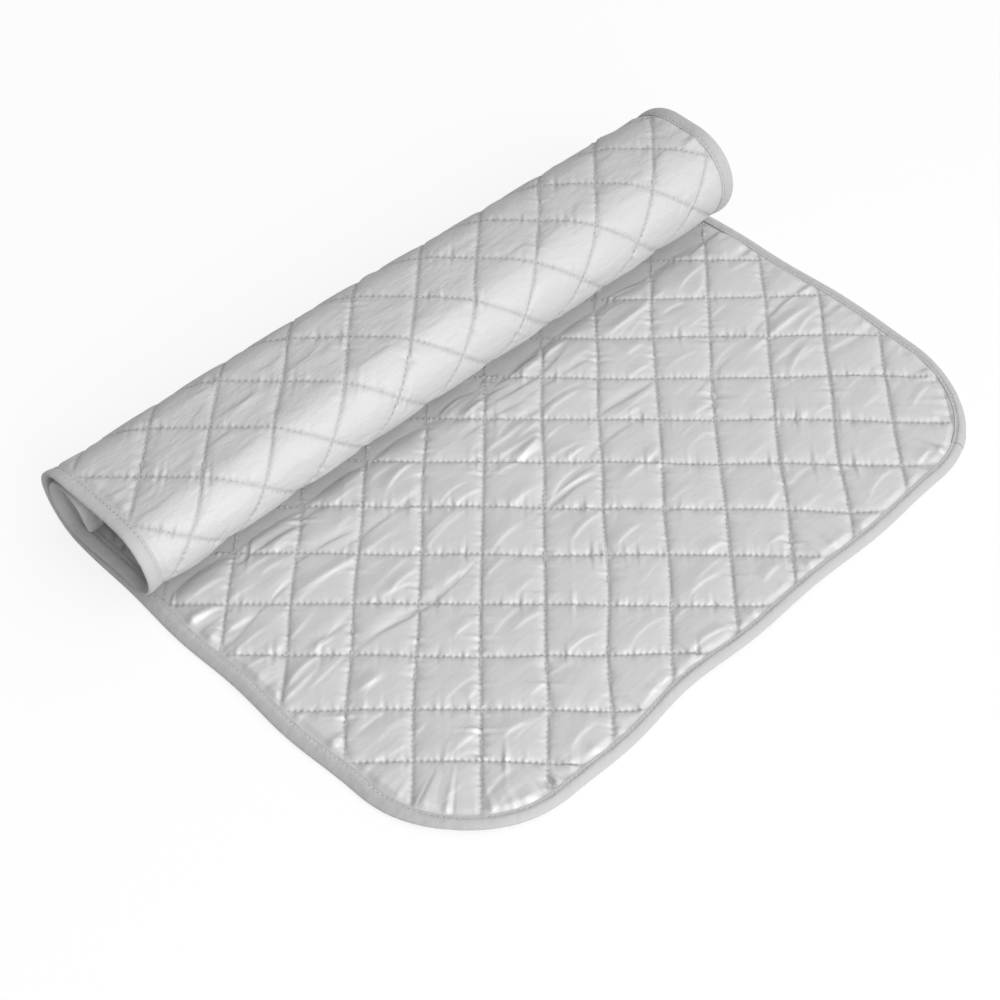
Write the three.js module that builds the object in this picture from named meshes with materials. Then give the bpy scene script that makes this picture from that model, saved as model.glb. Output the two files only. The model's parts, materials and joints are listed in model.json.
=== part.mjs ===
// Ironing pad: a quilted silver mat, bound with tape, lying flat at the front and rolled up at the back.
// Millimetres, +Z up. X runs along the roll, Y along the mat from its front edge to the roll.
import * as THREE from 'three';

// Driving dimensions of the mat
const PAD_WIDTH = 480;
const PAD_LENGTH = 750;
const CORNER_RADIUS = 80;
const PAD_THICKNESS = 5.5;
const WADDING_THICKNESS = 1.2;
const SEAM_THICKNESS = 2.4;
const CROWN_CLEARANCE = 0.1;
const TAPE_WIDTH = 10;
const TAPE_THICKNESS = 0.85;

// Driving dimensions of the quilting: stitched squares that stand on their corners
const QUILT_SQUARE = 36.1;
const QUILT_SHIFT = -0.1;
const FLAP_ROWS = 8;
const FRONT_ROW_SHARE = 0.85;
const DOME_SHARE = 0.72;

// Driving dimensions of the roll, at the middle of its length. It is wound askew and lies flatter at its left
// end. A taper is how much more a size is at the right end than at the left, and the skew is how much
// further back the roll's back lies there.
const ROLL_HEIGHT = 67.3;
const HEIGHT_TAPER = 19.8;
const ROLL_DEPTH = 97.7;
const DEPTH_TAPER = -14.6;
const BACK_SKEW = -29.2;
const ROLL_BASE = 78.9;
const TURN_GAP = 1.5;
const TONGUE_REACH = 1;
const TONGUE_DROP = 5;
const TAIL_LENGTH = 2.7;

// Clearances between pieces
const LAYER_GAP = 0.3;
const SLIT = 0.3;

// Spacing of the points that the cloth and the tape are drawn with
const EDGE_CLEAR = 3;
const SAME_COLUMN = 1;
const LEAST_STEP = 2;
const WOUND_STEP = 6;
const WOUND_END_STEP = 4;
const FRONT_CORNER_STEPS = 12;
const WOUND_CORNER_STEPS = 26;
const FRONT_EDGE_SHARES = [0, 0.2, 0.5, 1, 1.5];
const FRONT_ROW_SHARES = [0, 0.25, 0.5, 0.75];

// Levels through the mat, measured from its middle surface
const HALF = PAD_THICKNESS / 2;
const CROWN = HALF - CROWN_CLEARANCE;
const SEAM = SEAM_THICKNESS / 2;
const CORE = WADDING_THICKNESS / 2;
const COVER_IN = CORE + LAYER_GAP;
const TAPE_IN = HALF - TAPE_THICKNESS;
const COVER_INSET = TAPE_THICKNESS + LAYER_GAP;
const QUILT_INSET = TAPE_WIDTH + LAYER_GAP;

// The route of the mat's middle surface round the roll at x: straight runs and arcs that meet smoothly
const PITCH = PAD_THICKNESS + TURN_GAP;
const backRadius = (x) => (ROLL_HEIGHT + (HEIGHT_TAPER * x) / PAD_WIDTH - PAD_THICKNESS) / 2;
const rollDepth = (x) => ROLL_DEPTH + (DEPTH_TAPER * x) / PAD_WIDTH;
function routeAcross(x) {
  const back = backRadius(x);
  const front = back - PITCH / 2;
  const second = back - PITCH;
  const third = back - 2 * PITCH;
  const tongue = (2 * second - PITCH - TONGUE_DROP) / 2;
  const top = rollDepth(x) - back - front - PAD_THICKNESS;
  return [
    { run: ROLL_BASE + (BACK_SKEW * x) / PAD_WIDTH + backRadius(0) - back },
    { radius: back, angle: Math.PI },
    { run: top },
    { radius: front, angle: Math.PI },
    { run: top },
    { radius: second, angle: Math.PI },
    { run: TONGUE_REACH },
    { radius: tongue, angle: Math.PI / 2 },
    { run: TONGUE_DROP },
    { radius: tongue, angle: Math.PI / 2 },
    { run: TONGUE_REACH },
    { radius: third, angle: Math.PI },
    { run: TAIL_LENGTH },
  ];
}
const lengthOf = (piece) => (piece.run === undefined ? piece.radius * piece.angle : piece.run);
const ROUTE = routeAcross(0);
const ROLL_LENGTH = ROUTE.reduce((sum, piece) => sum + lengthOf(piece), 0);
const OUTER_TURN_END = ROUTE.slice(0, 4).reduce((sum, piece) => sum + lengthOf(piece), 0);

// The flat flap takes the rest of the length, and its rows divide it evenly
const FLAP = PAD_LENGTH - ROLL_LENGTH;
const ROW = FLAP / (FLAP_ROWS + FRONT_ROW_SHARE);
const COLUMN = QUILT_SQUARE / Math.SQRT2;
const DEPTH = FLAP + ROLL_BASE + Math.abs(BACK_SKEW) / 2 + backRadius(0) + HALF;
const SHIFT_Y = -DEPTH / 2;

// The place at x along the route, s mm behind the last bend line as measured at the middle of the roll
function routeAt(x, s) {
  let y = FLAP;
  let z = HALF;
  let heading = 0;
  let left = s;
  for (const [i, piece] of routeAcross(x).entries()) {
    const length = lengthOf(ROUTE[i]);
    const share = Math.min(left / length, 1);
    if (piece.run !== undefined) {
      y += share * piece.run * Math.cos(heading);
      z += share * piece.run * Math.sin(heading);
    } else {
      const turned = heading + share * piece.angle;
      y += piece.radius * (Math.sin(turned) - Math.sin(heading));
      z += piece.radius * (Math.cos(heading) - Math.cos(turned));
      heading = turned;
    }
    left -= share * length;
    if (left <= 1e-9) {
      break;
    }
  }
  return { y, z, heading };
}

// A point of the mat: x across, s along from the last bend line (negative on the flap), n off the middle
function place(x, s, n) {
  if (s <= 0) {
    return [x, FLAP + s + SHIFT_Y, HALF + n];
  }
  const at = routeAt(x, s);
  return [x, at.y - n * Math.sin(at.heading) + SHIFT_Y, at.z + n * Math.cos(at.heading)];
}

// Half the width of the outline, drawn in by inset, at v mm from the nearer free end
function halfWidth(v, inset) {
  if (v >= CORNER_RADIUS) {
    return PAD_WIDTH / 2 - inset;
  }
  const reach = CORNER_RADIUS - inset;
  const down = CORNER_RADIUS - v;
  return PAD_WIDTH / 2 - CORNER_RADIUS + Math.sqrt(Math.max(reach * reach - down * down, 0));
}
const fromEnd = (s) => Math.min(FLAP + s, ROLL_LENGTH - s);

// How far the quilting puffs up at a place: 0 on a seam, 1 in the middle of a square
function puff(x, s) {
  const u = x / COLUMN - QUILT_SHIFT;
  const v = s / ROW;
  const across = Math.abs((((u + v) / 2) % 1 + 1) % 1 - 0.5) * 2;
  const along = Math.abs((((u - v) / 2) % 1 + 1) % 1 - 0.5) * 2;
  const off = 1 - Math.max(across, along);
  return off > 0.5 - 1e-9 ? 1 - (1 - DOME_SHARE) * (1 - off) * 2 : DOME_SHARE * off * 2;
}

// The faces of one closed body, gathered as triangles
class Body {
  constructor() {
    this.points = [];
    this.faces = [];
  }

  point(x, s, n) {
    this.points.push(place(x, s, n));
    return this.points.length - 1;
  }

  triangle(a, b, c) {
    if (a !== b && b !== c && a !== c) {
      this.faces.push([a, b, c]);
    }
  }

  quad(a, b, c, d) {
    this.triangle(a, b, c);
    this.triangle(a, c, d);
  }

  mesh(name, material, flip) {
    const flat = [];
    for (const [a, b, c] of this.faces) {
      const order = flip ? [a, c, b] : [a, b, c];
      order.forEach((i) => flat.push(...this.points[i]));
    }
    const geometry = new THREE.BufferGeometry();
    geometry.setAttribute('position', new THREE.Float32BufferAttribute(flat, 3));
    geometry.computeVertexNormals();
    const mesh = new THREE.Mesh(geometry, material);
    mesh.name = name;
    return mesh;
  }
}

// The places across one row of a cover: its edges, the inner edge of the tape and the quilting columns,
// of which there are parts to each half square
function rowPlaces(s, quilted, parts) {
  const v = fromEnd(s);
  const edge = halfWidth(v, COVER_INSET);
  const places = [{ x: -edge, lift: 0 }];
  if (quilted && v > QUILT_INSET - 1e-6) {
    const inner = halfWidth(v, QUILT_INSET);
    const share = v > QUILT_INSET + 1e-6 ? 1 : 0;
    places.push({ x: -inner, lift: 0 });
    const first = Math.ceil(((-inner + EDGE_CLEAR) / COLUMN - QUILT_SHIFT) * parts);
    const last = Math.floor(((inner - EDGE_CLEAR) / COLUMN - QUILT_SHIFT) * parts);
    for (let i = first; i <= last; i += 1) {
      const x = (i / parts + QUILT_SHIFT) * COLUMN;
      places.push({ x, lift: share * puff(x, s) });
    }
    places.push({ x: inner, lift: 0 });
  }
  places.push({ x: edge, lift: 0 });
  return places;
}

// Joins two rows of a cover: under the tape on either side, and the quilting between
function joinRows(body, rowA, rowB) {
  if (rowA.length < 4 || rowB.length < 4) {
    zip(body, rowA, rowB);
    return;
  }
  zip(body, rowA.slice(0, 2), rowB.slice(0, 2));
  zip(body, rowA.slice(1, -1), rowB.slice(1, -1));
  zip(body, rowA.slice(-2), rowB.slice(-2));
}

// Joins two runs of points with triangles, along the seams where the squares have them
function zip(body, rowA, rowB) {
  let i = 0;
  let j = 0;
  while (i < rowA.length - 1 || j < rowB.length - 1) {
    const a = rowA[i];
    const b = rowB[j];
    const nextA = rowA[i + 1];
    const nextB = rowB[j + 1];
    let alongA = false;
    if (!nextB) {
      alongA = true;
    } else if (nextA) {
      const same = Math.abs(a.x - b.x) < SAME_COLUMN && Math.abs(nextA.x - nextB.x) < SAME_COLUMN;
      if (same) {
        const one = [nextA.lift, b.lift];
        const two = [a.lift, nextB.lift];
        const seamOne = Math.max(...one) < 1e-6;
        const seamTwo = Math.max(...two) < 1e-6;
        alongA = seamOne || (!seamTwo && one[0] + one[1] >= two[0] + two[1]);
      } else {
        alongA = nextA.x < nextB.x;
      }
    }
    if (alongA) {
      body.triangle(a.top, nextA.top, b.top);
      i += 1;
    } else {
      body.triangle(a.top, nextB.top, b.top);
      j += 1;
    }
  }
}

// One cover over a stretch of the mat. side is +1 for the face and -1 for the back.
function cover(name, rows, side, material, parts = 2) {
  const body = new Body();
  const lines = rows.map(({ s, quilted, at }, k) => {
    const places = rowPlaces(s, quilted, parts);
    const outer = places.map((p) => ({
      ...p,
      top: body.point(p.x, at ?? s, side * (SEAM + (CROWN - SEAM) * p.lift)),
    }));
    const ends = k === 0 || k === rows.length - 1;
    const kept = ends ? places : [places[0], places[places.length - 1]];
    const inner = kept.map((p) => ({ x: p.x, lift: 0, top: body.point(p.x, at ?? s, side * COVER_IN) }));
    return { outer, inner };
  });
  for (let k = 0; k < lines.length - 1; k += 1) {
    const a = lines[k];
    const b = lines[k + 1];
    joinRows(body, a.outer, b.outer);
    zip(body, b.inner, a.inner);
    body.quad(a.outer[0].top, b.outer[0].top, b.inner[0].top, a.inner[0].top);
    const [endA, endB] = [a.outer.at(-1).top, b.outer.at(-1).top];
    body.quad(endA, a.inner.at(-1).top, b.inner.at(-1).top, endB);
  }
  closeEnd(body, lines[0], false);
  closeEnd(body, lines.at(-1), true);
  return body.mesh(name, material, side < 0);
}

// Closes a cover at its first or last row, between its outer and inner edges
function closeEnd(body, { outer, inner }, last) {
  for (let i = 0; i < outer.length - 1; i += 1) {
    const loop = [outer[i].top, inner[i].top, inner[i + 1].top, outer[i + 1].top];
    body.quad(...(last ? loop.reverse() : loop));
  }
}

// The wadding over a stretch of the mat
function wadding(name, rows, material) {
  const body = new Body();
  const lines = rows.map(({ s, at }) => {
    const x = halfWidth(fromEnd(s), COVER_INSET);
    return [
      body.point(-x, at ?? s, -CORE),
      body.point(x, at ?? s, -CORE),
      body.point(x, at ?? s, CORE),
      body.point(-x, at ?? s, CORE),
    ];
  });
  sweep(body, lines);
  return body.mesh(name, material, true);
}

// Skins a run of like sections and closes both ends
function sweep(body, lines) {
  const count = lines[0].length;
  for (let k = 0; k < lines.length - 1; k += 1) {
    for (let i = 0; i < count; i += 1) {
      const j = (i + 1) % count;
      body.quad(lines[k][i], lines[k][j], lines[k + 1][j], lines[k + 1][i]);
    }
  }
  capEnd(body, lines[0], false);
  capEnd(body, lines[lines.length - 1], true);
}

// A section has four points, or twelve round a folded tape: two legs and the fold
function capEnd(body, section, last) {
  const turn = (a, b, c, d) => (last ? body.quad(a, b, c, d) : body.quad(a, d, c, b));
  if (section.length === 4) {
    turn(...section);
    return;
  }
  const [a, b, c, d, e, f, g, h, i, j, k, l] = section;
  turn(a, b, k, l);
  turn(b, c, j, k);
  turn(c, d, i, j);
  turn(d, e, h, i);
  turn(e, f, g, h);
}

// The section of the folded tape where the outline is cut straight across
function tapeAcross(body, s, at, side) {
  const v = fromEnd(s);
  const reach = (inset) => side * halfWidth(v, inset);
  return tapeSection(body, (inset) => [reach(inset), at ?? s]);
}

// The section of the folded tape square to the outline on a rounded corner or along a free end
function tapeSquare(body, side, angle, end) {
  const spot = (inset) => {
    const x = PAD_WIDTH / 2 - CORNER_RADIUS + (CORNER_RADIUS - inset) * Math.cos(angle);
    const v = CORNER_RADIUS - (CORNER_RADIUS - inset) * Math.sin(angle);
    return [side * x, end === 'front' ? v - FLAP : ROLL_LENGTH - v];
  };
  return tapeSection(body, spot);
}

// Twelve points round a folded tape, from the inner edge of its upper leg
function tapeSection(body, spot) {
  const half = TAPE_WIDTH / 2;
  const corners = [
    [TAPE_WIDTH, HALF],
    [half, HALF],
    [0, HALF],
    [0, -HALF],
    [half, -HALF],
    [TAPE_WIDTH, -HALF],
    [TAPE_WIDTH, -TAPE_IN],
    [half, -TAPE_IN],
    [TAPE_THICKNESS, -TAPE_IN],
    [TAPE_THICKNESS, TAPE_IN],
    [half, TAPE_IN],
    [TAPE_WIDTH, TAPE_IN],
  ];
  return corners.map(([inset, n]) => {
    const [x, s] = spot(inset);
    return body.point(x, s, n);
  });
}

// The tape along one side of a stretch
function sideTape(name, rows, side, material) {
  const body = new Body();
  sweep(body, rows.map(({ s, at }) => tapeAcross(body, s, at, side)));
  return body.mesh(name, material, side < 0);
}

// The tape round a free end: up one side, round both corners and back down the other side
function endTape(name, rows, corner, end, material) {
  const body = new Body();
  const angles = Array.from({ length: corner + 1 }, (_, i) => (i / corner) * (Math.PI / 2));
  const kept = angles.filter((angle) => {
    const deep = CORNER_RADIUS - (CORNER_RADIUS - TAPE_WIDTH) * Math.sin(angle);
    const lastRow = rows[rows.length - 1];
    return deep < fromEnd(lastRow.s) - LEAST_STEP;
  });
  const right = rows.map(({ s, at }) => tapeAcross(body, s, at, 1));
  kept.forEach((angle) => right.push(tapeSquare(body, 1, angle, end)));
  const left = [];
  [...kept].reverse().forEach((angle) => left.push(tapeSquare(body, -1, angle, end)));
  [...rows].reverse().forEach(({ s, at }) => left.push(tapeAcross(body, s, at, -1)));
  sweep(body, [...right, ...left]);
  return body.mesh(name, material, end === 'front');
}

// The rows of a stretch, a slit in from both its bend lines
function stretchRows(from, to, extra = []) {
  const rows = [{ s: from, at: from + SLIT / 2, quilted: true }];
  for (const s of extra) {
    rows.push({ s, quilted: true });
  }
  rows.push({ s: to, at: to - SLIT / 2, quilted: true });
  return rows;
}

// Places from one end of a run to the other, no more than a step apart
function evenly(from, to, step) {
  const count = Math.ceil((to - from) / step);
  return Array.from({ length: count + 1 }, (_, i) => from + ((to - from) * i) / count);
}

// The rows of the wound part: fine enough for each bend to look round
function woundRows() {
  const stops = new Set([ROLL_BASE]);
  const half = ROW / 2;
  for (let i = Math.ceil((ROLL_BASE + LEAST_STEP) / half); i * half < OUTER_TURN_END; i += 1) {
    stops.add(i * half);
  }
  const outer = [...stops].map((s) => ({ s, quilted: true }));
  const cornerStart = ROLL_LENGTH - CORNER_RADIUS;
  const inner = evenly(OUTER_TURN_END, cornerStart, WOUND_STEP);
  const end = evenly(cornerStart, ROLL_LENGTH - COVER_INSET, WOUND_END_STEP);
  const plain = [...inner.slice(0, -1), ...end].map((s) => ({ s, quilted: false }));
  const rows = [...outer, ...plain];
  rows[0] = { s: ROLL_BASE, at: ROLL_BASE + SLIT / 2, quilted: true };
  return rows;
}

// Finishes
const faceCloth = new THREE.MeshStandardMaterial({
  name: 'silver_face',
  color: 0xc9cbce,
  roughness: 0.42,
  metalness: 0.35,
});
const backCloth = new THREE.MeshStandardMaterial({
  name: 'silver_back',
  color: 0xbfc1c4,
  roughness: 0.48,
  metalness: 0.3,
});
const fill = new THREE.MeshStandardMaterial({ name: 'white_wadding', color: 0xf1efe9, roughness: 0.95 });
const tape = new THREE.MeshStandardMaterial({ name: 'grey_tape', color: 0xb4b6b8, roughness: 0.75 });

const pad = new THREE.Group();
pad.name = 'ironing_pad';
const label = (k) => String(k).padStart(2, '0');

// The flap: rows from the last bend line (row 1) to the front edge (the last row)
for (let k = 1; k <= FLAP_ROWS; k += 1) {
  const near = -k * ROW;
  const front = k === FLAP_ROWS;
  const rows = [];
  if (front) {
    for (const share of FRONT_EDGE_SHARES) {
      rows.push({ s: COVER_INSET + (QUILT_INSET - COVER_INSET) * share - FLAP, quilted: true });
    }
    for (const share of FRONT_ROW_SHARES) {
      rows.push({ s: (share - FLAP_ROWS) * ROW, quilted: true });
    }
    rows.push({ s: near + ROW, at: near + ROW - SLIT / 2, quilted: true });
  } else {
    rows.push(...stretchRows(near, near + ROW, [near + ROW / 2]));
  }
  pad.add(cover(`face_cover_row_${label(k)}`, rows, 1, faceCloth));
  pad.add(wadding(`wadding_row_${label(k)}`, rows, fill));
  const under = front ? rows : [rows[0], rows.at(-1)];
  pad.add(cover(`back_cover_row_${label(k)}`, under, -1, backCloth, 1));
  if (front) {
    const edge = rows[rows.length - 1];
    pad.add(endTape('binding_front', [edge], FRONT_CORNER_STEPS, 'front', tape));
  } else {
    pad.add(sideTape(`binding_left_row_${label(k)}`, rows, -1, tape));
    pad.add(sideTape(`binding_right_row_${label(k)}`, rows, 1, tape));
  }
}

// The flat base under the roll
const baseStops = [];
for (let i = 1; i * (ROW / 2) < ROLL_BASE - LEAST_STEP; i += 1) {
  baseStops.push(i * (ROW / 2));
}
const baseRows = stretchRows(0, ROLL_BASE, baseStops);
pad.add(cover('face_cover_base', baseRows, 1, faceCloth));
pad.add(wadding('wadding_base', baseRows, fill));
pad.add(cover('back_cover_base', baseRows, -1, backCloth));
pad.add(sideTape('binding_left_base', baseRows, -1, tape));
pad.add(sideTape('binding_right_base', baseRows, 1, tape));

// The wound part
const wound = woundRows();
pad.add(cover('face_cover_roll', wound.map((r) => ({ ...r, quilted: false })), 1, faceCloth));
pad.add(wadding('wadding_roll', wound, fill));
pad.add(cover('back_cover_roll', wound, -1, backCloth));
const woundSides = wound.filter(({ s }) => s < ROLL_LENGTH - CORNER_RADIUS - 1e-6);
pad.add(endTape('binding_roll', woundSides, WOUND_CORNER_STEPS, 'roll', tape));

// The least gap between turns of the wound mat at x, measured on points of its two outer levels
function leastTurnGap(x) {
  const points = [];
  for (let s = 0; s <= ROLL_LENGTH; s += 2) {
    for (const n of [-HALF, HALF]) {
      const [, y, z] = place(x, s, n);
      points.push({ s, y, z });
    }
  }
  let least = Infinity;
  for (const a of points) {
    for (const b of points) {
      if (b.s - a.s > 3 * PAD_THICKNESS * Math.PI) {
        least = Math.min(least, Math.hypot(a.y - b.y, a.z - b.z));
      }
    }
  }
  return least;
}
const turnGaps = [-PAD_WIDTH / 2, 0, PAD_WIDTH / 2].map(leastTurnGap);
console.log(`flap ${FLAP.toFixed(1)}, row ${ROW.toFixed(2)}, depth ${DEPTH.toFixed(1)} mm`);
console.log(`length of mat in the roll ${ROLL_LENGTH.toFixed(1)} mm`);
console.log(`least gap between turns ${Math.min(...turnGaps).toFixed(2)} mm`);

export default pad;
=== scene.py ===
"""Dresses the ironing pad: quilted silver cloth, its taped edge and its stitching.

The mat is worked out flat, as places x across, s along and n off its middle surface, in millimetres.
Every piece is then laid along the route that the mat takes over the table and round its roll.
"""

from __future__ import annotations

import json
import logging
import math
from dataclasses import dataclass, field
from enum import Enum

import bpy
import numpy as np
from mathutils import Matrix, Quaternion, Vector

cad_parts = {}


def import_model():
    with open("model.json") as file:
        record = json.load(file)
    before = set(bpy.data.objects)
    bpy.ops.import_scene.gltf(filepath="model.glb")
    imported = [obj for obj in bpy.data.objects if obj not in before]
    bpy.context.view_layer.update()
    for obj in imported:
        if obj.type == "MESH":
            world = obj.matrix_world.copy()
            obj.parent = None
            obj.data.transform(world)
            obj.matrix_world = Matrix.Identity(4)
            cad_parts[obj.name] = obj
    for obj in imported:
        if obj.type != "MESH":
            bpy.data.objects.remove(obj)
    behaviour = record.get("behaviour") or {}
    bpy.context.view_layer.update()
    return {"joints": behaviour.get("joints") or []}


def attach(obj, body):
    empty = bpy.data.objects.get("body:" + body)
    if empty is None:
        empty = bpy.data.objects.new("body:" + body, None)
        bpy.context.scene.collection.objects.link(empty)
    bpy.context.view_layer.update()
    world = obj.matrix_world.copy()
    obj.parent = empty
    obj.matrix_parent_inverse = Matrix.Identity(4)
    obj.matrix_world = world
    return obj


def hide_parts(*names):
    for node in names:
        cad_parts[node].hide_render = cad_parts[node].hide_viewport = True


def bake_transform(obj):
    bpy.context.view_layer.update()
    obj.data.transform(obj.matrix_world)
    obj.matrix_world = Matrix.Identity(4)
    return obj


log = logging.getLogger("ironing_pad")
MM = 0.001
CLOTH_UV = "cloth"
SEAM_ATTRIBUTE = "seam"
# Two limits of a value.
Span = tuple[float, float]
# The x, s and level of every point of a run of tape, a row for each section.
Sections = tuple[np.ndarray, np.ndarray, np.ndarray]
# The section of the folded tape: inset from the mat's edge and level off its middle, in millimetres.
TAPE_UPPER = (
    (10.0, 1.1), (9.9, 1.5), (9.5, 1.74), (8.0, 1.12), (7.1, 1.5), (6.0, 1.66), (4.5, 1.3),
    (2.8, 0.6), (1.4, -0.1), (0.5, -0.75), (0.05, -1.35),
)
TAPE_LOWER = (
    (0.05, -1.8), (0.5, -2.3), (1.4, -2.6), (2.8, -2.68), (4.6, -2.5), (6.4, -2.2), (7.2, -1.95),
    (8.0, -1.65), (9.3, -1.78), (9.85, -1.62), (10.0, -1.3),
)
TAPE_INSIDE = (
    (9.8, -1.2), (5.0, -1.6), (1.8, -1.8), (1.2, -1.55), (1.8, -0.9), (5.0, 0.45), (9.8, 0.95),
)


class Side(Enum):
    """Which cloth of the mat: the face lies upwards on the flap, the back on the table."""

    FACE = 1
    BACK = -1


class Kind(Enum):
    """What a piece of the mat is made of, as its name says it."""

    FACE = "face_cloth"
    BACK = "back_cloth"
    TAPE = "edge_tape"
    THREAD = "stitching"


@dataclass(frozen=True)
class MatSizes:
    """Sizes of the mat and of its roll in millimetres, as the solids have them."""

    width: float = 480.0
    length: float = 750.0
    corner_radius: float = 80.0
    thickness: float = 5.5
    tape_width: float = 10.0
    quilt_square: float = 36.1
    quilt_shift: float = -0.1
    flap_rows: int = 8
    front_row_share: float = 0.85
    roll_height: float = 67.3
    height_taper: float = 19.8
    roll_depth: float = 97.7
    depth_taper: float = -14.6
    back_skew: float = -29.2
    roll_base: float = 78.9
    turn_gap: float = 1.5
    tongue_reach: float = 1.0
    tongue_drop: float = 5.0
    tail_length: float = 2.7
    cover_inset: float = 6.2

    @property
    def half(self) -> float:
        """Half the thickness of the mat."""
        return self.thickness / 2

    @property
    def column(self) -> float:
        """Half the diagonal of a quilted square."""
        return self.quilt_square / math.sqrt(2)


def smooth_step(value: np.ndarray, low: float, high: float) -> np.ndarray:
    """Rises smoothly from 0 at low to 1 at high.

    Args:
        value: the values to ease.
        low: where the rise starts.
        high: where it ends.

    Returns:
        The eased values, from 0 to 1.
    """
    t = np.clip((value - low) / (high - low), 0.0, 1.0)
    return t * t * (3 - 2 * t)


def bell(value: np.ndarray, width: float | np.ndarray) -> np.ndarray:
    """A bell curve: 1 at zero, dying away over the width."""
    return np.exp(-((value / width) ** 2))


def clear_of(distance: np.ndarray, reach: float) -> np.ndarray:
    """Rises from 0 on a line towards 1 away from it, over the reach."""
    return 1 - np.exp(-distance / reach)


def between(share: float | np.ndarray, limits: tuple) -> float | np.ndarray:
    """Turns a share from 0 to 1 to a value between two limits."""
    return limits[0] + (limits[1] - limits[0]) * share


def unit(vectors: np.ndarray) -> np.ndarray:
    """Vectors drawn out to a length of 1, safe where they are zero."""
    return vectors / np.maximum(np.linalg.norm(vectors, axis=-1, keepdims=True), 1e-12)


@dataclass(frozen=True)
class Wave:
    """An uneven wave: its height and step in millimetres, and how its beat shifts with a slower one."""

    height: float
    step: float
    shift: float
    slow_step: float

    def at(self, t: np.ndarray, slow: np.ndarray) -> np.ndarray:
        """The wave at places t, its beat shifted by places slow."""
        return self.height * np.sin(t / self.step + self.shift * np.sin(slow / self.slow_step))


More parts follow.
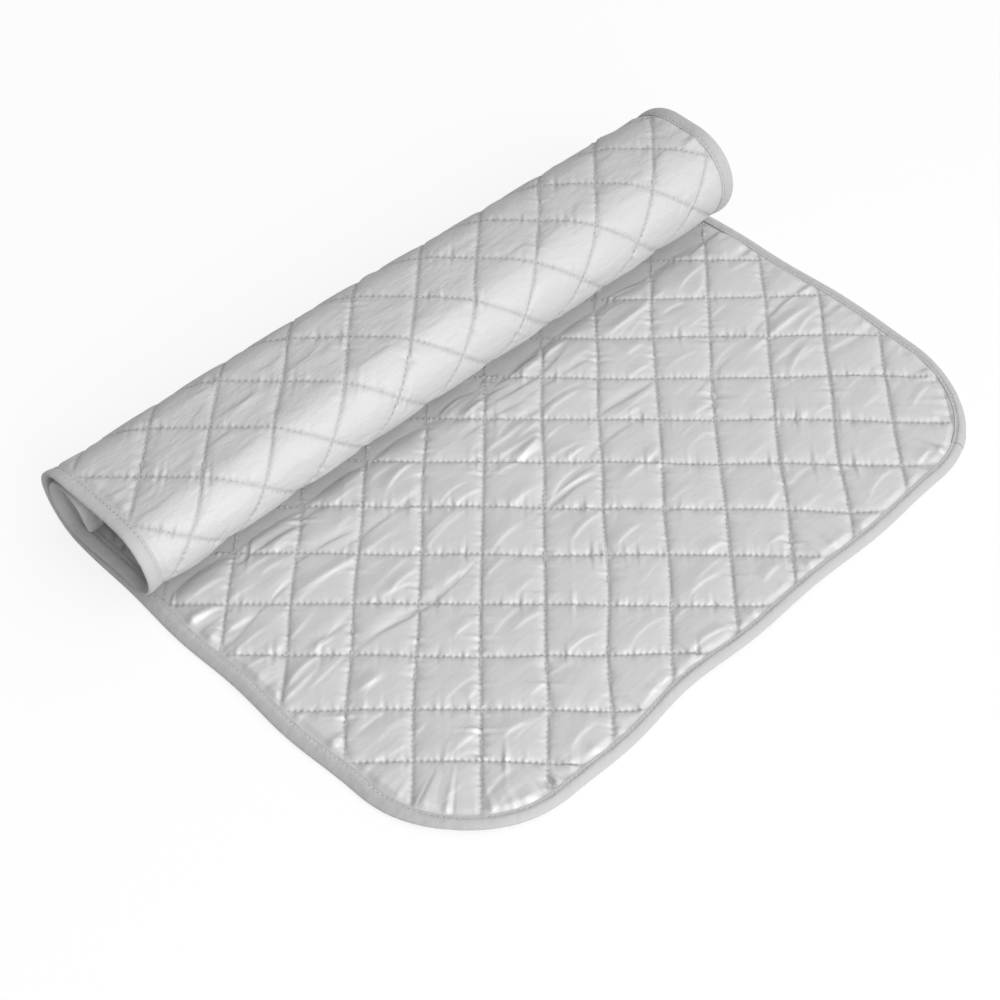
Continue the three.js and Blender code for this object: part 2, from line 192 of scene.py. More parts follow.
class MatRoute:
    """Lays the flat mat over the table and round its roll."""

    # How many of the route's pieces make up the flat base and the outer turn.
    OUTER_PIECES = 4
    # How the free edges of the flap lift off the table.
    EDGE_LIFT = 1.4
    EDGE_FADE = 24.0
    LIFT_ACROSS = 41.0
    LIFT_ALONG = 33.0
    LIFT_PHASE = 0.7
    FREE_SPAN = (10.0, 90.0)
    # How every edge wanders, and how much cloth the loose roll takes up.
    SIDE_WANDER = Wave(0.6, 14.0, 1.6, 31.0)
    END_WANDER = Wave(0.6, 16.0, 1.6, 27.0)
    SLACK = 10.2
    SLACK_SKEW = 0.045
    SLACK_SPAN = (15.0, 150.0)
    # How the flap widens next to the roll, and how its left front corner is tucked in.
    FLAT_SPAN = (20.0, 130.0)
    RIGHT_FLARE = 7.8
    RIGHT_SPAN = (90.0, 240.0)
    RIGHT_FRONT_LOSS = 0.7
    RIGHT_FRONT_SPAN = (110.0, 190.0)
    LEFT_FLARE = 1.6
    LEFT_SPAN = (150.0, 240.0)
    LEFT_FRONT_SPAN = (-20.0, 70.0)
    CORNER_TUCK = 5.5
    TUCK_SPAN = (25.0, 150.0)
    TUCK_ALONG = 0.6
    # How the front edge is drawn in at one place and bulges at another.
    FRONT_SPAN = (150.0, 215.0)
    FRONT_DENT = 3.6
    DENT_MIDDLE = -68.0
    DENT_REACH = 38.0
    FRONT_BULGE = 3.0
    BULGE_SPAN = (0.0, 120.0)
    # How the roll stands up in its middle and sinks at its left end.
    ROLL_BOW = 0.03
    BOW_MIDDLE = -50.0
    BOW_LEFT = 70.0
    BOW_RIGHT = 90.0
    ROLL_SAG = 0.06
    SAG_SPAN = (130.0, 235.0)

    def __init__(self, sizes: MatSizes) -> None:
        """Works out the lengths of the route.

        Args:
            sizes: the sizes of the mat and its roll.
        """
        self.sizes = sizes
        middle = self.pieces(np.zeros(1))
        self.roll_length = float(sum(length[0] for _, _, length in middle))
        self.flap = sizes.length - self.roll_length
        self.row = self.flap / (sizes.flap_rows + sizes.front_row_share)
        back = sizes.roll_base + abs(sizes.back_skew) / 2 + self.back_radius(np.zeros(1))[0]
        self.shift_y = -(self.flap + back + sizes.half) / 2

    def back_radius(self, x: np.ndarray) -> np.ndarray:
        """Radius of the roll's first turn at the back.

        Args:
            x: places across the mat.

        Returns:
            The radius at each place.
        """
        size = self.sizes
        return (size.roll_height + size.height_taper * x / size.width - size.thickness) / 2

    def pieces(self, x: np.ndarray) -> list[tuple[float, np.ndarray, np.ndarray]]:
        """The runs and arcs of the route, from the last bend line to the end inside the roll.

        Args:
            x: places across the mat.

        Returns:
            For each piece its angle (0 for a run), its run or radius, and its length.
        """
        size = self.sizes
        pitch = size.thickness + size.turn_gap
        back = self.back_radius(x)
        front = back - pitch / 2
        second = back - pitch
        tongue = (2 * second - pitch - size.tongue_drop) / 2
        top = size.roll_depth + size.depth_taper * x / size.width - back - front - size.thickness
        base = size.roll_base + size.back_skew * x / size.width + self.back_radius(np.zeros_like(x)) - back
        whole = np.ones_like(x)
        quarter = math.pi / 2
        plan = [
            (0.0, base),
            (math.pi, back),
            (0.0, top),
            (math.pi, front),
            (0.0, top),
            (math.pi, second),
            (0.0, size.tongue_reach * whole),
            (quarter, tongue),
            (0.0, size.tongue_drop * whole),
            (quarter, tongue),
            (0.0, size.tongue_reach * whole),
            (math.pi, back - 2 * pitch),
            (0.0, size.tail_length * whole),
        ]
        return [(angle, reach, reach * (angle or 1.0)) for angle, reach in plan]

    def place(self, x: np.ndarray, s: np.ndarray, n: np.ndarray) -> np.ndarray:
        """Lays places of the flat mat along the route.

        Args:
            x: places across the mat.
            s: places along it, behind the last bend line.
            n: places off its middle surface, towards its face.

        Returns:
            Points in metres, in the part's frame.
        """
        x, s, n = (np.array(v, float) for v in np.broadcast_arrays(x, s, n))
        lift, sway_x, sway_s = self.ease(x, s)
        slack = (self.SLACK + self.SLACK_SKEW * x) * smooth_step(s, *self.SLACK_SPAN)
        x = x + sway_x
        s = s + sway_s - slack
        pieces = self.pieces(x)
        outer = sum(length for _, _, length in pieces[: self.OUTER_PIECES])
        inner = sum(length for _, _, length in pieces[self.OUTER_PIECES :])
        wound = outer + (s - outer) * inner / (self.roll_length - outer)
        left = np.maximum(np.where(s <= outer, s, wound), 0.0)
        y = self.flap + np.minimum(s, 0.0)
        z = np.full_like(s, self.sizes.half)
        heading = np.zeros_like(s)
        for angle, reach, length in pieces:
            share = np.clip(left / length, 0.0, 1.0)
            if angle:
                turned = heading + share * angle
                y = y + reach * (np.sin(turned) - np.sin(heading))
                z = z + reach * (np.cos(heading) - np.cos(turned))
                heading = turned
            else:
                y = y + share * reach * np.cos(heading)
                z = z + share * reach * np.sin(heading)
            left = left - share * length
        y = y - n * np.sin(heading) + self.shift_y
        z = (z + n * np.cos(heading)) * self.sag(x) + lift
        return np.stack([x, y, z], axis=-1) * MM

    def ease(self, x: np.ndarray, s: np.ndarray) -> tuple[np.ndarray, np.ndarray, np.ndarray]:
        """How soft cloth strays from straight lines and from the table.

        Args:
            x: places across the mat.
            s: places along it.

        Returns:
            The lift off the table, and the sway across and along.
        """
        free = smooth_step(-s, *self.FREE_SPAN)
        wave = 0.5 + 0.5 * np.sin(x / self.LIFT_ACROSS - s / self.LIFT_ALONG + self.LIFT_PHASE)
        lift = self.EDGE_LIFT * free * wave * np.exp(-self.edge_distance(x, s) / self.EDGE_FADE)
        flat = 1 - smooth_step(s, *self.FLAT_SPAN)
        right = self.RIGHT_FLARE * smooth_step(x, *self.RIGHT_SPAN)
        right = right * (1 - self.RIGHT_FRONT_LOSS * smooth_step(-s, *self.RIGHT_FRONT_SPAN))
        left = self.LEFT_FLARE * smooth_step(-x, *self.LEFT_SPAN)
        left = left * (1 - smooth_step(-s, *self.LEFT_FRONT_SPAN))
        from_corner = np.hypot(x + self.sizes.width / 2, s + self.flap)
        tuck = self.CORNER_TUCK * (1 - smooth_step(from_corner, *self.TUCK_SPAN))
        near_front = smooth_step(-s, *self.FRONT_SPAN)
        dent = self.FRONT_DENT * bell(x - self.DENT_MIDDLE, self.DENT_REACH)
        bulge = self.FRONT_BULGE * smooth_step(x, *self.BULGE_SPAN)
        sway_x = (right - left) * flat + tuck + self.SIDE_WANDER.at(s, x)
        sway_s = (dent - bulge) * near_front + self.TUCK_ALONG * tuck + self.END_WANDER.at(x, s)
        return lift, sway_x, sway_s

    def sag(self, x: np.ndarray) -> np.ndarray:
        """How the soft roll stands up in its middle and sinks at its left end.

        Args:
            x: places across the mat.

        Returns:
            The share of its height at each place.
        """
        reach = np.where(x < self.BOW_MIDDLE, self.BOW_LEFT, self.BOW_RIGHT)
        bow = bell(x - self.BOW_MIDDLE, reach)
        return 1 + self.ROLL_BOW * bow - self.ROLL_SAG * smooth_step(-x, *self.SAG_SPAN)

    def from_end(self, s: np.ndarray) -> np.ndarray:
        """Distance along the mat to its nearer free end."""
        return np.minimum(self.flap + s, self.roll_length - s)

    def half_width(self, s: np.ndarray, inset: float | np.ndarray) -> np.ndarray:
        """Half the width of the mat's rounded outline.

        Args:
            s: places along the mat.
            inset: how far the outline is drawn in.

        Returns:
            Half the width at each place.
        """
        radius = self.sizes.corner_radius
        reach = radius - inset
        down = np.maximum(radius - self.from_end(s), 0.0)
        straight = self.sizes.width / 2 - radius
        return straight + np.sqrt(np.maximum(reach**2 - down**2, 0.0))

    def edge_distance(self, x: np.ndarray, s: np.ndarray) -> np.ndarray:
        """Distance in from the mat's rounded outline.

        Args:
            x: places across the mat.
            s: places along it.

        Returns:
            The distance at each place.
        """
        radius = self.sizes.corner_radius
        out_x = np.abs(x) - (self.sizes.width / 2 - radius)
        out_s = radius - self.from_end(s)
        corner = np.hypot(np.maximum(out_x, 0.0), np.maximum(out_s, 0.0))
        return radius - np.where((out_x > 0) & (out_s > 0), corner, np.maximum(out_x, out_s))


@dataclass(frozen=True)
class Pucker:
    """Puckers beside a line of stitches: their sizes in millimetres, and the draws that vary them."""

    height: float
    reach: float
    step: float
    least_swell: float
    least_reach: float
    swell_line: int
    reach_line: int


class QuiltField:
    """How far the quilted cloth stands up: pillows, folds, puckers along the seams and needle holes."""

    # The pillow of each square.
    PILLOW_HEIGHT = 1.95
    DOME_SHARE = 0.22
    SEAM_RISE = 2.5
    # The folds in each square, the last of them a valley. Pairs are the limits of a draw.
    FOLDS = 3
    FOLD_HEIGHT = 0.9
    FOLD_CLEAR = 2.0
    FOLD_NONE = 0.22
    FOLD_SLOPE = (-0.18, 0.22)
    FOLD_CURVE = (-0.001, -0.014)
    FOLD_MIDDLE = (-0.45, 0.45)
    FOLD_REACH = (6.0, 17.0)
    FOLD_STEEP = (0.95, 1.7)
    FOLD_GENTLE = (3.0, 8.0)
    RIDGE_PLACE = (-0.62, 0.13)
    VALLEY_PLACE = (0.2, 0.65)
    VALLEY_DEPTH = 0.7
    # The puckers along the seams and along the tape.
    SEAM_PUCKER = Pucker(0.62, 2.4, 2.7, 0.3, 0.6, 17, 31)
    PUCKER_CLEAR = 0.7
    EDGE_PUCKER = Pucker(1.5, 6.5, 4.6, 0.2, 0.5, 9, 23)
    EDGE_LINE = 5
    VARY = 0.8
    SWELL_STEP = 12.0
    SWELL_MOST = 1.5
    REACH_STEP = 6.5
    REACH_MOST = 2.0
    # The needle holes.
    HOLE_DEPTH = 0.42
    HOLE_REACH = 1.2
    STITCH_PITCH = 3.61
    # The long creases in front of the roll.
    CREASES = 52
    CREASE_HEIGHT = 1.15
    CREASE_SPAN = (-130.0, 40.0)
    CREASE_MIDDLE = (-225.0, 225.0)
    CREASE_LINE = (18.0, -97.0)
    CREASE_CROWD = 1.4
    CREASE_REACH = (14.0, 40.0)
    CREASE_SLOPE = (-0.15, 0.15)
    CREASE_CURVE = (-0.005, 0.005)
    CREASE_SIZE = (0.4, 1.0)
    CREASE_STEEP = 1.5
    CREASE_GENTLE = 4.5
    # The size of the tables of draws.
    TABLE = 64
    KNOTS = 512

    def __init__(self, route: MatRoute, seed: int) -> None:
        """Draws the random numbers of every square and seam.

        Args:
            route: the route that the mat takes, for its rows.
            seed: the seed of the draws.
        """
        self.route = route
        random = np.random.default_rng(seed)
        self.squares = random.random((self.TABLE, self.TABLE, self.FOLDS, 8))
        self.ripples = random.normal(0.0, 1.0, (2, self.TABLE, self.KNOTS))
        self.crease_draws = random.random((self.CREASES, 7))

    def lattice(self, x: np.ndarray, s: np.ndarray) -> tuple[np.ndarray, np.ndarray]:
        """Counts squares along the two families of seams.

        Args:
            x: places across the mat.
            s: places along it.

        Returns:
            The count across each family, whole on its seams.
        """
        u = x / self.route.sizes.column - self.route.sizes.quilt_shift
        v = s / self.route.row
        return (u + v) / 2, (u - v) / 2

    def seam_distance(self, x: np.ndarray, s: np.ndarray) -> np.ndarray:
        """Distance to the nearest quilting seam.

        Args:
            x: places across the mat.
            s: places along it.

        Returns:
            The distance at each place.
        """
        a, b = self.lattice(x, s)
        side = self.route.sizes.quilt_square
        return np.minimum(np.abs(a - np.round(a)), np.abs(b - np.round(b))) * side

    def folds(self, a: np.ndarray, b: np.ndarray) -> np.ndarray:
        """Curved folds that run across each square, steep on the side of the mat's front.

        Args:
            a: count across one family of seams.
            b: count across the other.

        Returns:
            The height of the folds, as a share of the tallest.
        """
        column = self.route.sizes.column
        row = self.route.row
        ia = np.floor(a).astype(int)
        ib = np.floor(b).astype(int)
        along = (a - ia + b - ib - 1) * column
        up = (a - ia - b + ib) * row
        total = np.zeros_like(a)
        for k in range(self.FOLDS):
            draw = np.moveaxis(self.squares[ia % self.TABLE, ib % self.TABLE, k], -1, 0)
            valley = k == self.FOLDS - 1
            place = between(draw[0], self.VALLEY_PLACE if valley else self.RIDGE_PLACE) * row
            away = along - between(draw[3], self.FOLD_MIDDLE) * column
            bow = between(draw[1], self.FOLD_SLOPE) * away + between(draw[2], self.FOLD_CURVE) * away**2
            off = up - place - bow
            size = np.clip((draw[5] - self.FOLD_NONE) / (1 - self.FOLD_NONE), 0.0, 1.0)
            if valley:
                off = -off
                size = -self.VALLEY_DEPTH * size
            steep = between(draw[6], self.FOLD_STEEP)
            gentle = between(draw[7], self.FOLD_GENTLE)
            total += size * self.ridge(off, away, steep, gentle, between(draw[4], self.FOLD_REACH))
        return total

    @staticmethod
    def ridge(
        off: np.ndarray,
        away: np.ndarray,
        steep: float | np.ndarray,
        gentle: float | np.ndarray,
        reach: float | np.ndarray,
    ) -> np.ndarray:
        """A fold that is steep on one side, gentle on the other, and dies away at its ends."""
        across = bell(off, np.where(off < 0, steep, gentle))
        return across * np.exp(-((away / reach) ** 4))

    def creases(self, x: np.ndarray, s: np.ndarray) -> np.ndarray:
        """Long creases along the roll, which pulls the flap up in front of it.

        Args:
            x: places across the mat.
            s: places along it.

        Returns:
            The height of the creases, as a share of the tallest.
        """
        total = np.zeros_like(x)
        if not np.any((s > self.CREASE_SPAN[0]) & (s < self.CREASE_SPAN[1])):
            return total
        for draw in self.crease_draws:
            away = x - between(draw[0], self.CREASE_MIDDLE)
            line = between(draw[1] ** self.CREASE_CROWD, self.CREASE_LINE)
            bow = between(draw[3], self.CREASE_SLOPE) * away + between(draw[4], self.CREASE_CURVE) * away**2
            size = between(draw[5], self.CREASE_SIZE) * (1.0 if draw[6] < 0.5 else -1.0)
            reach = between(draw[2], self.CREASE_REACH)
            total += size * self.ridge(s - line - bow, away, self.CREASE_STEEP, self.CREASE_GENTLE, reach)
        return total

    def ripple(self, line: np.ndarray, place: np.ndarray, family: int) -> np.ndarray:
        """Uneven ripples along a line, smooth between random knots.

        Args:
            line: the number of the line.
            place: place along it, counted in knots.
            family: which of the two families of lines.

        Returns:
            The ripple at each place.
        """
        knot = np.floor(place).astype(int)
        part = smooth_step(place - knot, 0.0, 1.0)
        table = self.ripples[family]
        row = line % self.TABLE
        first = table[row, knot % self.KNOTS]
        second = table[row, (knot + 1) % self.KNOTS]
        return first * (1 - part) + second * part

    def pucker(
        self, line: np.ndarray, along: np.ndarray, off: np.ndarray, family: int, sort: Pucker
    ) -> np.ndarray:
        """Puckers beside a line: ripples that swell and die away along it, some short and some long.

        Args:
            line: the number of the line.
            along: place along it in millimetres.
            off: distance from it.
            family: which of the two families of lines.
            sort: the sizes of the puckers.

        Returns:
            The height of the puckers.
        """
        swell = np.abs(self.ripple(line + sort.swell_line, along / self.SWELL_STEP, family))
        swell = sort.least_swell + self.VARY * np.minimum(swell, self.SWELL_MOST)
        longer = np.abs(self.ripple(line + sort.reach_line, along / self.REACH_STEP, family))
        longer = sort.least_reach + self.VARY * np.minimum(longer, self.REACH_MOST)
        wave = swell * self.ripple(line, along / sort.step, family)
        return sort.height * wave * np.exp(-off / (sort.reach * longer))

    def edge_pucker(self, x: np.ndarray, s: np.ndarray, off: np.ndarray) -> np.ndarray:
        """Drawn-in creases that run from the tape into the cloth.

        Args:
            x: places across the mat.
            s: places along it.
            off: distance from the inner edge of the tape.

        Returns:
            The height of the creases.
        """
        radius = self.route.sizes.corner_radius
        straight = self.route.sizes.width / 2 - radius
        out_x = np.abs(x) - straight
        out_s = radius - self.route.flap - s
        turned = np.arctan2(np.maximum(out_s, 0.0), np.maximum(out_x, 1e-6)) * radius
        side = np.where(out_s > 0, turned, out_s) - np.where(out_x < 0, out_x, 0.0)
        along = np.sign(x) * (straight + radius * np.pi / 2 - side)
        line = np.full(np.shape(x), self.EDGE_LINE)
        return self.pucker(line, along, np.maximum(off, 0.0), 0, self.EDGE_PUCKER)

    def height(
        self, x: np.ndarray, s: np.ndarray, fold_gain: np.ndarray, pillow_gain: np.ndarray
    ) -> np.ndarray:
        """Height of the cloth over its seams in millimetres.

        Args:
            x: places across the mat.
            s: places along it.
            fold_gain: how strong the folds are, 1 on slack cloth and less on tight cloth.
            pillow_gain: how high the squares puff up, 1 on slack cloth.

        Returns:
            The height at each place, about 1.9 on a slack pillow.
        """
        side = self.route.sizes.quilt_square
        a, b = self.lattice(x, s)
        from_a = np.abs(a - np.round(a)) * side
        from_b = np.abs(b - np.round(b)) * side
        rise = clear_of(from_a, self.SEAM_RISE) * clear_of(from_b, self.SEAM_RISE)
        dome = np.sin(np.pi * (a % 1.0)) * np.sin(np.pi * (b % 1.0))
        height = self.PILLOW_HEIGHT * pillow_gain * rise * between(dome, (1 - self.DOME_SHARE, 1.0))
        slack = self.FOLD_HEIGHT * self.folds(a, b) + self.CREASE_HEIGHT * self.creases(x, s)
        height += fold_gain * slack * clear_of(np.minimum(from_a, from_b), self.FOLD_CLEAR)
        for family, (count, along, off) in enumerate(((a, b, from_a), (b, a, from_b))):
            line = np.round(count).astype(int)
            pucker = self.pucker(line, along * side, off, family, self.SEAM_PUCKER)
            height += pucker * clear_of(off, self.PUCKER_CLEAR)
            beat = np.cos(2 * np.pi * along * side / self.STITCH_PITCH)
            height -= self.HOLE_DEPTH * (0.5 + 0.5 * beat) * bell(off, self.HOLE_REACH)
        return height


@dataclass(frozen=True)
class Stretch:
    """A length of the mat that is one piece: it rides on one body, or lies between two."""

    name: str
    start: float
    end: float
    bodies: tuple[str, ...]
    cover_nodes: tuple[str, ...] = ()
    tape_nodes: tuple[str, ...] = ()


@dataclass(frozen=True)
class Grain:
    """How finely a stretch of cloth is meshed, in millimetres along and across."""

    along: float
    across: float


def new_object(name: str, points: np.ndarray, faces: list[tuple[int, ...]]) -> bpy.types.Object:
    """Makes a mesh object at the origin.

    Args:
        name: the name of the piece.
        points: its points in metres.
        faces: its faces as numbers of points.

    Returns:
        The new object, smooth shaded.
    """
    mesh = bpy.data.meshes.new(name)
    mesh.from_pydata(points.tolist(), [], faces)
    mesh.polygons.foreach_set("use_smooth", np.ones(len(mesh.polygons), bool))
    mesh.update()
    made = bpy.data.objects.new(name, mesh)
    bpy.context.scene.collection.objects.link(made)
    return made


def grid_faces(number: np.ndarray, turned: bool = False) -> list[tuple[int, ...]]:
    """Four-sided faces of a grid of points.

    Args:
        number: the numbers of the points, in the rows of the grid.
        turned: whether the faces look the other way.

    Returns:
        The faces.
    """
    corners = [number[:-1, :-1], number[:-1, 1:], number[1:, 1:], number[1:, :-1]]
    if turned:
        corners.reverse()
    return [tuple(face) for face in np.stack(corners, axis=-1).reshape(-1, 4).tolist()]


def fan_faces(fine: np.ndarray, coarse: np.ndarray, kept: np.ndarray) -> list[tuple[int, ...]]:
    """Joins a fine row of points to a coarse one beside it.

    Args:
        fine: the numbers of the fine row.
        coarse: the numbers of the coarse row.
        kept: which points of the fine row the coarse ones lie beside.

    Returns:
        The faces.
    """
    faces = []
    for j in range(len(kept) - 1):
        for c in range(kept[j], kept[j + 1]):
            faces.append((coarse[j], fine[c + 1], fine[c]))
        faces.append((coarse[j], coarse[j + 1], fine[kept[j + 1]]))
    return faces


def shell_faces(rows: int, columns: int, kept: np.ndarray, turned: bool) -> list[tuple[int, ...]]:
    """Faces of a closed shell, whose inside is coarse but for its first and last rows.

    Args:
        rows: how many rows of points each side has.
        columns: how many points a fine row has.
        kept: which points of a fine row the coarse rows keep.
        turned: whether the faces look the other way.

    Returns:
        The faces. The outside's points are numbered first, then the inside's.
    """
    outer = np.arange(rows * columns).reshape(rows, columns)
    first = outer.size + np.arange(columns)
    inner = outer.size + columns + np.arange((rows - 2) * len(kept)).reshape(rows - 2, len(kept))
    last = first + columns + inner.size
    walls = fan_faces(first, inner[0], kept)
    walls += [face[::-1] for face in fan_faces(last, inner[-1], kept)]
    for c in range(columns - 1):
        walls.append((first[c], first[c + 1], outer[0, c + 1], outer[0, c]))
        walls.append((last[c + 1], last[c], outer[-1, c], outer[-1, c + 1]))
    left = np.concatenate([first[:1], inner[:, 0], last[:1]])
    right = np.concatenate([first[-1:], inner[:, -1], last[-1:]])
    for j in range(rows - 1):
        walls.append((outer[j, 0], outer[j + 1, 0], left[j + 1], left[j]))
        walls.append((outer[j + 1, -1], outer[j, -1], right[j], right[j + 1]))
    faces = grid_faces(outer, turned) + grid_faces(inner, not turned)
    return faces + [tuple(int(i) for i in (wall[::-1] if turned else wall)) for wall in walls]


def set_cloth_data(piece: bpy.types.Object, places: np.ndarray, seam: np.ndarray) -> None:
    """Keeps the flat places of a piece as its UV map, in metres of cloth, and its nearness to seams.

    Args:
        piece: the piece.
        places: x and s of each point in millimetres.
        seam: from 0 away from seams to 1 on them, for each point.
    """
    mesh = piece.data
    corner_points = np.zeros(len(mesh.loops), np.int32)
    mesh.loops.foreach_get("vertex_index", corner_points)
    layer = mesh.uv_layers.new(name=CLOTH_UV)
    layer.data.foreach_set("uv", (places[corner_points] * MM).astype(np.float32).reshape(-1))
    attribute = mesh.attributes.new(SEAM_ATTRIBUTE, "FLOAT", "POINT")
    attribute.data.foreach_set("value", seam.astype(np.float32))


@dataclass(frozen=True)
class Strip:
    """A closed run of tape: its points, faces and normals, and its places on the flat mat."""

    points: np.ndarray
    faces: list[tuple[int, ...]]
    normals: np.ndarray
    flat: np.ndarray


@dataclass
class Stitch:
    """One stitch of thread, modelled once: a short strand that dips into the cloth at both ends."""

    length: float = 2.9
    thickness: float = 0.5
    sides: int = 6
    straight_share: float = 0.5
    end_taper: float = 0.55
    dip: float = 0.32
    sink: float = 0.05

    def __post_init__(self) -> None:
        """Models the strand and keeps its points, in millimetres, and its faces."""
        straight = self.length * self.straight_share
        bpy.ops.object.select_all(action="DESELECT")
        bpy.ops.mesh.primitive_cylinder_add(
            vertices=self.sides,
            radius=self.thickness / 2 * MM,
            depth=straight * MM,
            rotation=(0.0, math.pi / 2, 0.0),
        )
        strand = bpy.context.object
        bpy.ops.object.transform_apply(location=False, rotation=True, scale=False)
        bpy.ops.object.mode_set(mode="EDIT")
        for hand in (-1, 1):
            self.pick_end(strand, hand)
            move = (hand * (self.length - straight) / 2 * MM, 0.0, -self.dip * MM)
            bpy.ops.mesh.extrude_region_move(TRANSFORM_OT_translate={"value": move})
            bpy.ops.transform.resize(value=(1.0, self.end_taper, self.end_taper))
        bpy.ops.object.mode_set(mode="OBJECT")
        mesh = strand.data
        self.points = np.array([v.co for v in mesh.vertices]) / MM
        self.faces = [tuple(p.vertices) for p in mesh.polygons]
        bpy.data.objects.remove(strand)

    @staticmethod
    def pick_end(strand: bpy.types.Object, hand: int) -> None:
        """Selects the end face of the strand, in edit mode.

        Args:
            strand: the strand.
            hand: -1 for the end towards -X and 1 for the other.
        """
        bpy.ops.object.mode_set(mode="OBJECT")
        far = max(p.center.x * hand for p in strand.data.polygons)
        for polygon in strand.data.polygons:
            polygon.select = polygon.center.x * hand > far - 1e-6
        bpy.ops.object.mode_set(mode="EDIT")


@dataclass
class Mat:
    """The whole mat: its route, its quilting and the pieces that it is cut into.

    Sizes are in millimetres. A span is where along the mat a share or a slack changes, from and to.
    """

    sizes: MatSizes = field(default_factory=MatSizes)
    seed: int = 11
    seam_level: float = 0.95
    inner_level: float = 0.3
    least_level: float = 0.5
    under_tape: float = 1.15
    table_level: float = 2.7
    table_soft: float = 0.12
    quilt_start: float = -1.0
    quilt_full: float = 4.8
    pillow_share: Span = (1.0, 0.74)
    pillow_span: Span = (60.0, 120.0)
    face_slack: Span = (1.0, 0.1)
    face_span: Span = (30.0, 80.0)
    back_slack: Span = (0.12, 0.87)
    back_span: Span = (80.0, 130.0)
    foot_line: float = 30.0
    foot_skew: float = -0.03
    foot_dent: float = 4.0
    foot_reach: float = 9.5
    foot_clear: float = 2.5
    flap_grain: Grain = Grain(1.0, 1.05)
    under_grain: Grain = Grain(1.6, 1.6)
    roll_grain: Grain = Grain(1.4, 1.4)
    hidden_grain: Grain = Grain(3.2, 3.2)
    inner_share: int = 8
    seen_end: float = 345.0
    normal_step: float = 0.6
    seam_shade: float = 1.1
    seam_lines: int = 24
    seam_margin: float = 1.0
    front_share: float = 0.74
    front_span: Span = (15.0, 95.0)
    side_share: float = 0.9
    roll_span: Span = (0.0, 80.0)
    tape_step: float = 1.6
    tape_stitch_inset: float = 8.0
    tape_stitch_pitch: float = 3.2
    face_stitch_level: float = 1.22
    back_stitch_level: float = -1.75
    tape_shade: float = 1.0
    sewn_dimple: float = 0.08
    sewn_reach: float = 1.7
    sewn_ripple: Wave = Wave(0.12, 3.9, 1.7, 17.0)
    crown_reach: float = 2.6
    crown_ripple: Wave = Wave(0.13, 6.1, 2.2, 23.0)
    tape_sway: Wave = Wave(0.22, 13.0, 0.6, 31.0)
    sway_from: float = 7.0
    corner_start: float = 2.0
    joint_angle: float = 64.0
    joint_reach: float = 6.5
    joint_count: int = 11
    joint_rise: float = 0.42
    joint_lip: float = 0.3
    joint_lip_inset: float = 2.0

    def __post_init__(self) -> None:
        """Works out the route and the quilting."""
        self.route = MatRoute(self.sizes)
        self.quilt = QuiltField(self.route, self.seed)

    def stretches(self) -> list[Stretch]:
        """The lengths that the mat is cut into: the front, one across each bend line, base and roll.

        Returns:
            The stretches from the front edge to the roll's end.
        """
        row = self.route.row
        count = self.sizes.flap_rows
        found = [
            Stretch(
                "front",
                -self.route.flap,
                -(count - 0.5) * row,
                (f"row_{count:02d}",),
                tape_nodes=("binding_front",),
            )
        ]
        for k in range(count, 0, -1):
            label = f"row_{k:02d}"
            before = f"row_{k - 1:02d}" if k > 1 else "roll"
            sides = (f"binding_left_{label}", f"binding_right_{label}") if k < count else ()
            start = -(k - 0.5) * row
            found.append(Stretch(label, start, start + row, (label, before), (label,), sides))
        base_tapes = ("binding_left_base", "binding_right_base")
        base_end = self.sizes.roll_base
        found.append(Stretch("base", row / 2, base_end, ("roll",), ("base",), base_tapes))
        end = self.route.roll_length
        found.append(Stretch("roll", base_end, end, ("roll",), ("roll",), ("binding_roll",)))
        return found

    def fold_gain(self, s: np.ndarray, side: Side) -> np.ndarray:
        """How slack the cloth is: full of folds on the flap, drawn tight on the outside of the roll.

        Args:
            s: places along the mat.
            side: which cloth.

        Returns:
            The strength of the folds.
        """
        if side is Side.FACE:
            return between(smooth_step(s, *self.face_span), self.face_slack)
        return between(smooth_step(s, *self.back_span), self.back_slack)

    def level(self, x: np.ndarray, s: np.ndarray, side: Side) -> np.ndarray:
        """Where the outside of a cloth lies, off the middle of the mat.

        Args:
            x: places across the mat.
            s: places along it.
            side: which cloth.

        Returns:
            The level of each place, negative on the back.
        """
        pillow = between(smooth_step(s, *self.pillow_span), self.pillow_share)
        slack = self.fold_gain(s, side)
        off_tape = self.route.edge_distance(x, s) - self.sizes.tape_width * self.tape_share(s)
        height = self.quilt.height(x, s, slack, pillow) + slack * self.quilt.edge_pucker(x, s, off_tape)
        inside = smooth_step(off_tape, self.quilt_start, self.quilt_full)
        level = between(inside, (self.under_tape, self.seam_level + height))
        level = np.maximum(level, self.least_level)
        if side is Side.FACE:
            dent = self.foot_dent * bell(s - self.foot_line - self.foot_skew * x, self.foot_reach)
            dent = dent * clear_of(self.quilt.seam_distance(x, s), self.foot_clear)
            level = np.maximum(level - dent, self.least_level)
        else:
            spare = (self.table_level - level) / self.table_soft
            on_table = self.table_level - self.table_soft * np.log1p(np.exp(spare))
            level = np.where(s < self.sizes.roll_base, on_table, level)
        return side.value * level

    def normals(self, x: np.ndarray, s: np.ndarray, side: Side) -> np.ndarray:
        """Normals of a cloth's outside, worked out on the whole cloth so that no cut shows.

        Args:
            x: places across the mat.
            s: places along it.
            side: which cloth.

        Returns:
            A unit normal for each place.
        """
        step = self.normal_step

        def at(dx: float, ds: float) -> np.ndarray:
            """The cloth a little way from each place."""
            return self.route.place(x + dx, s + ds, self.level(x + dx, s + ds, side))

        across = at(step, 0.0) - at(-step, 0.0)
        along = at(0.0, step) - at(0.0, -step)
        return unit(np.cross(across, along) * side.value)

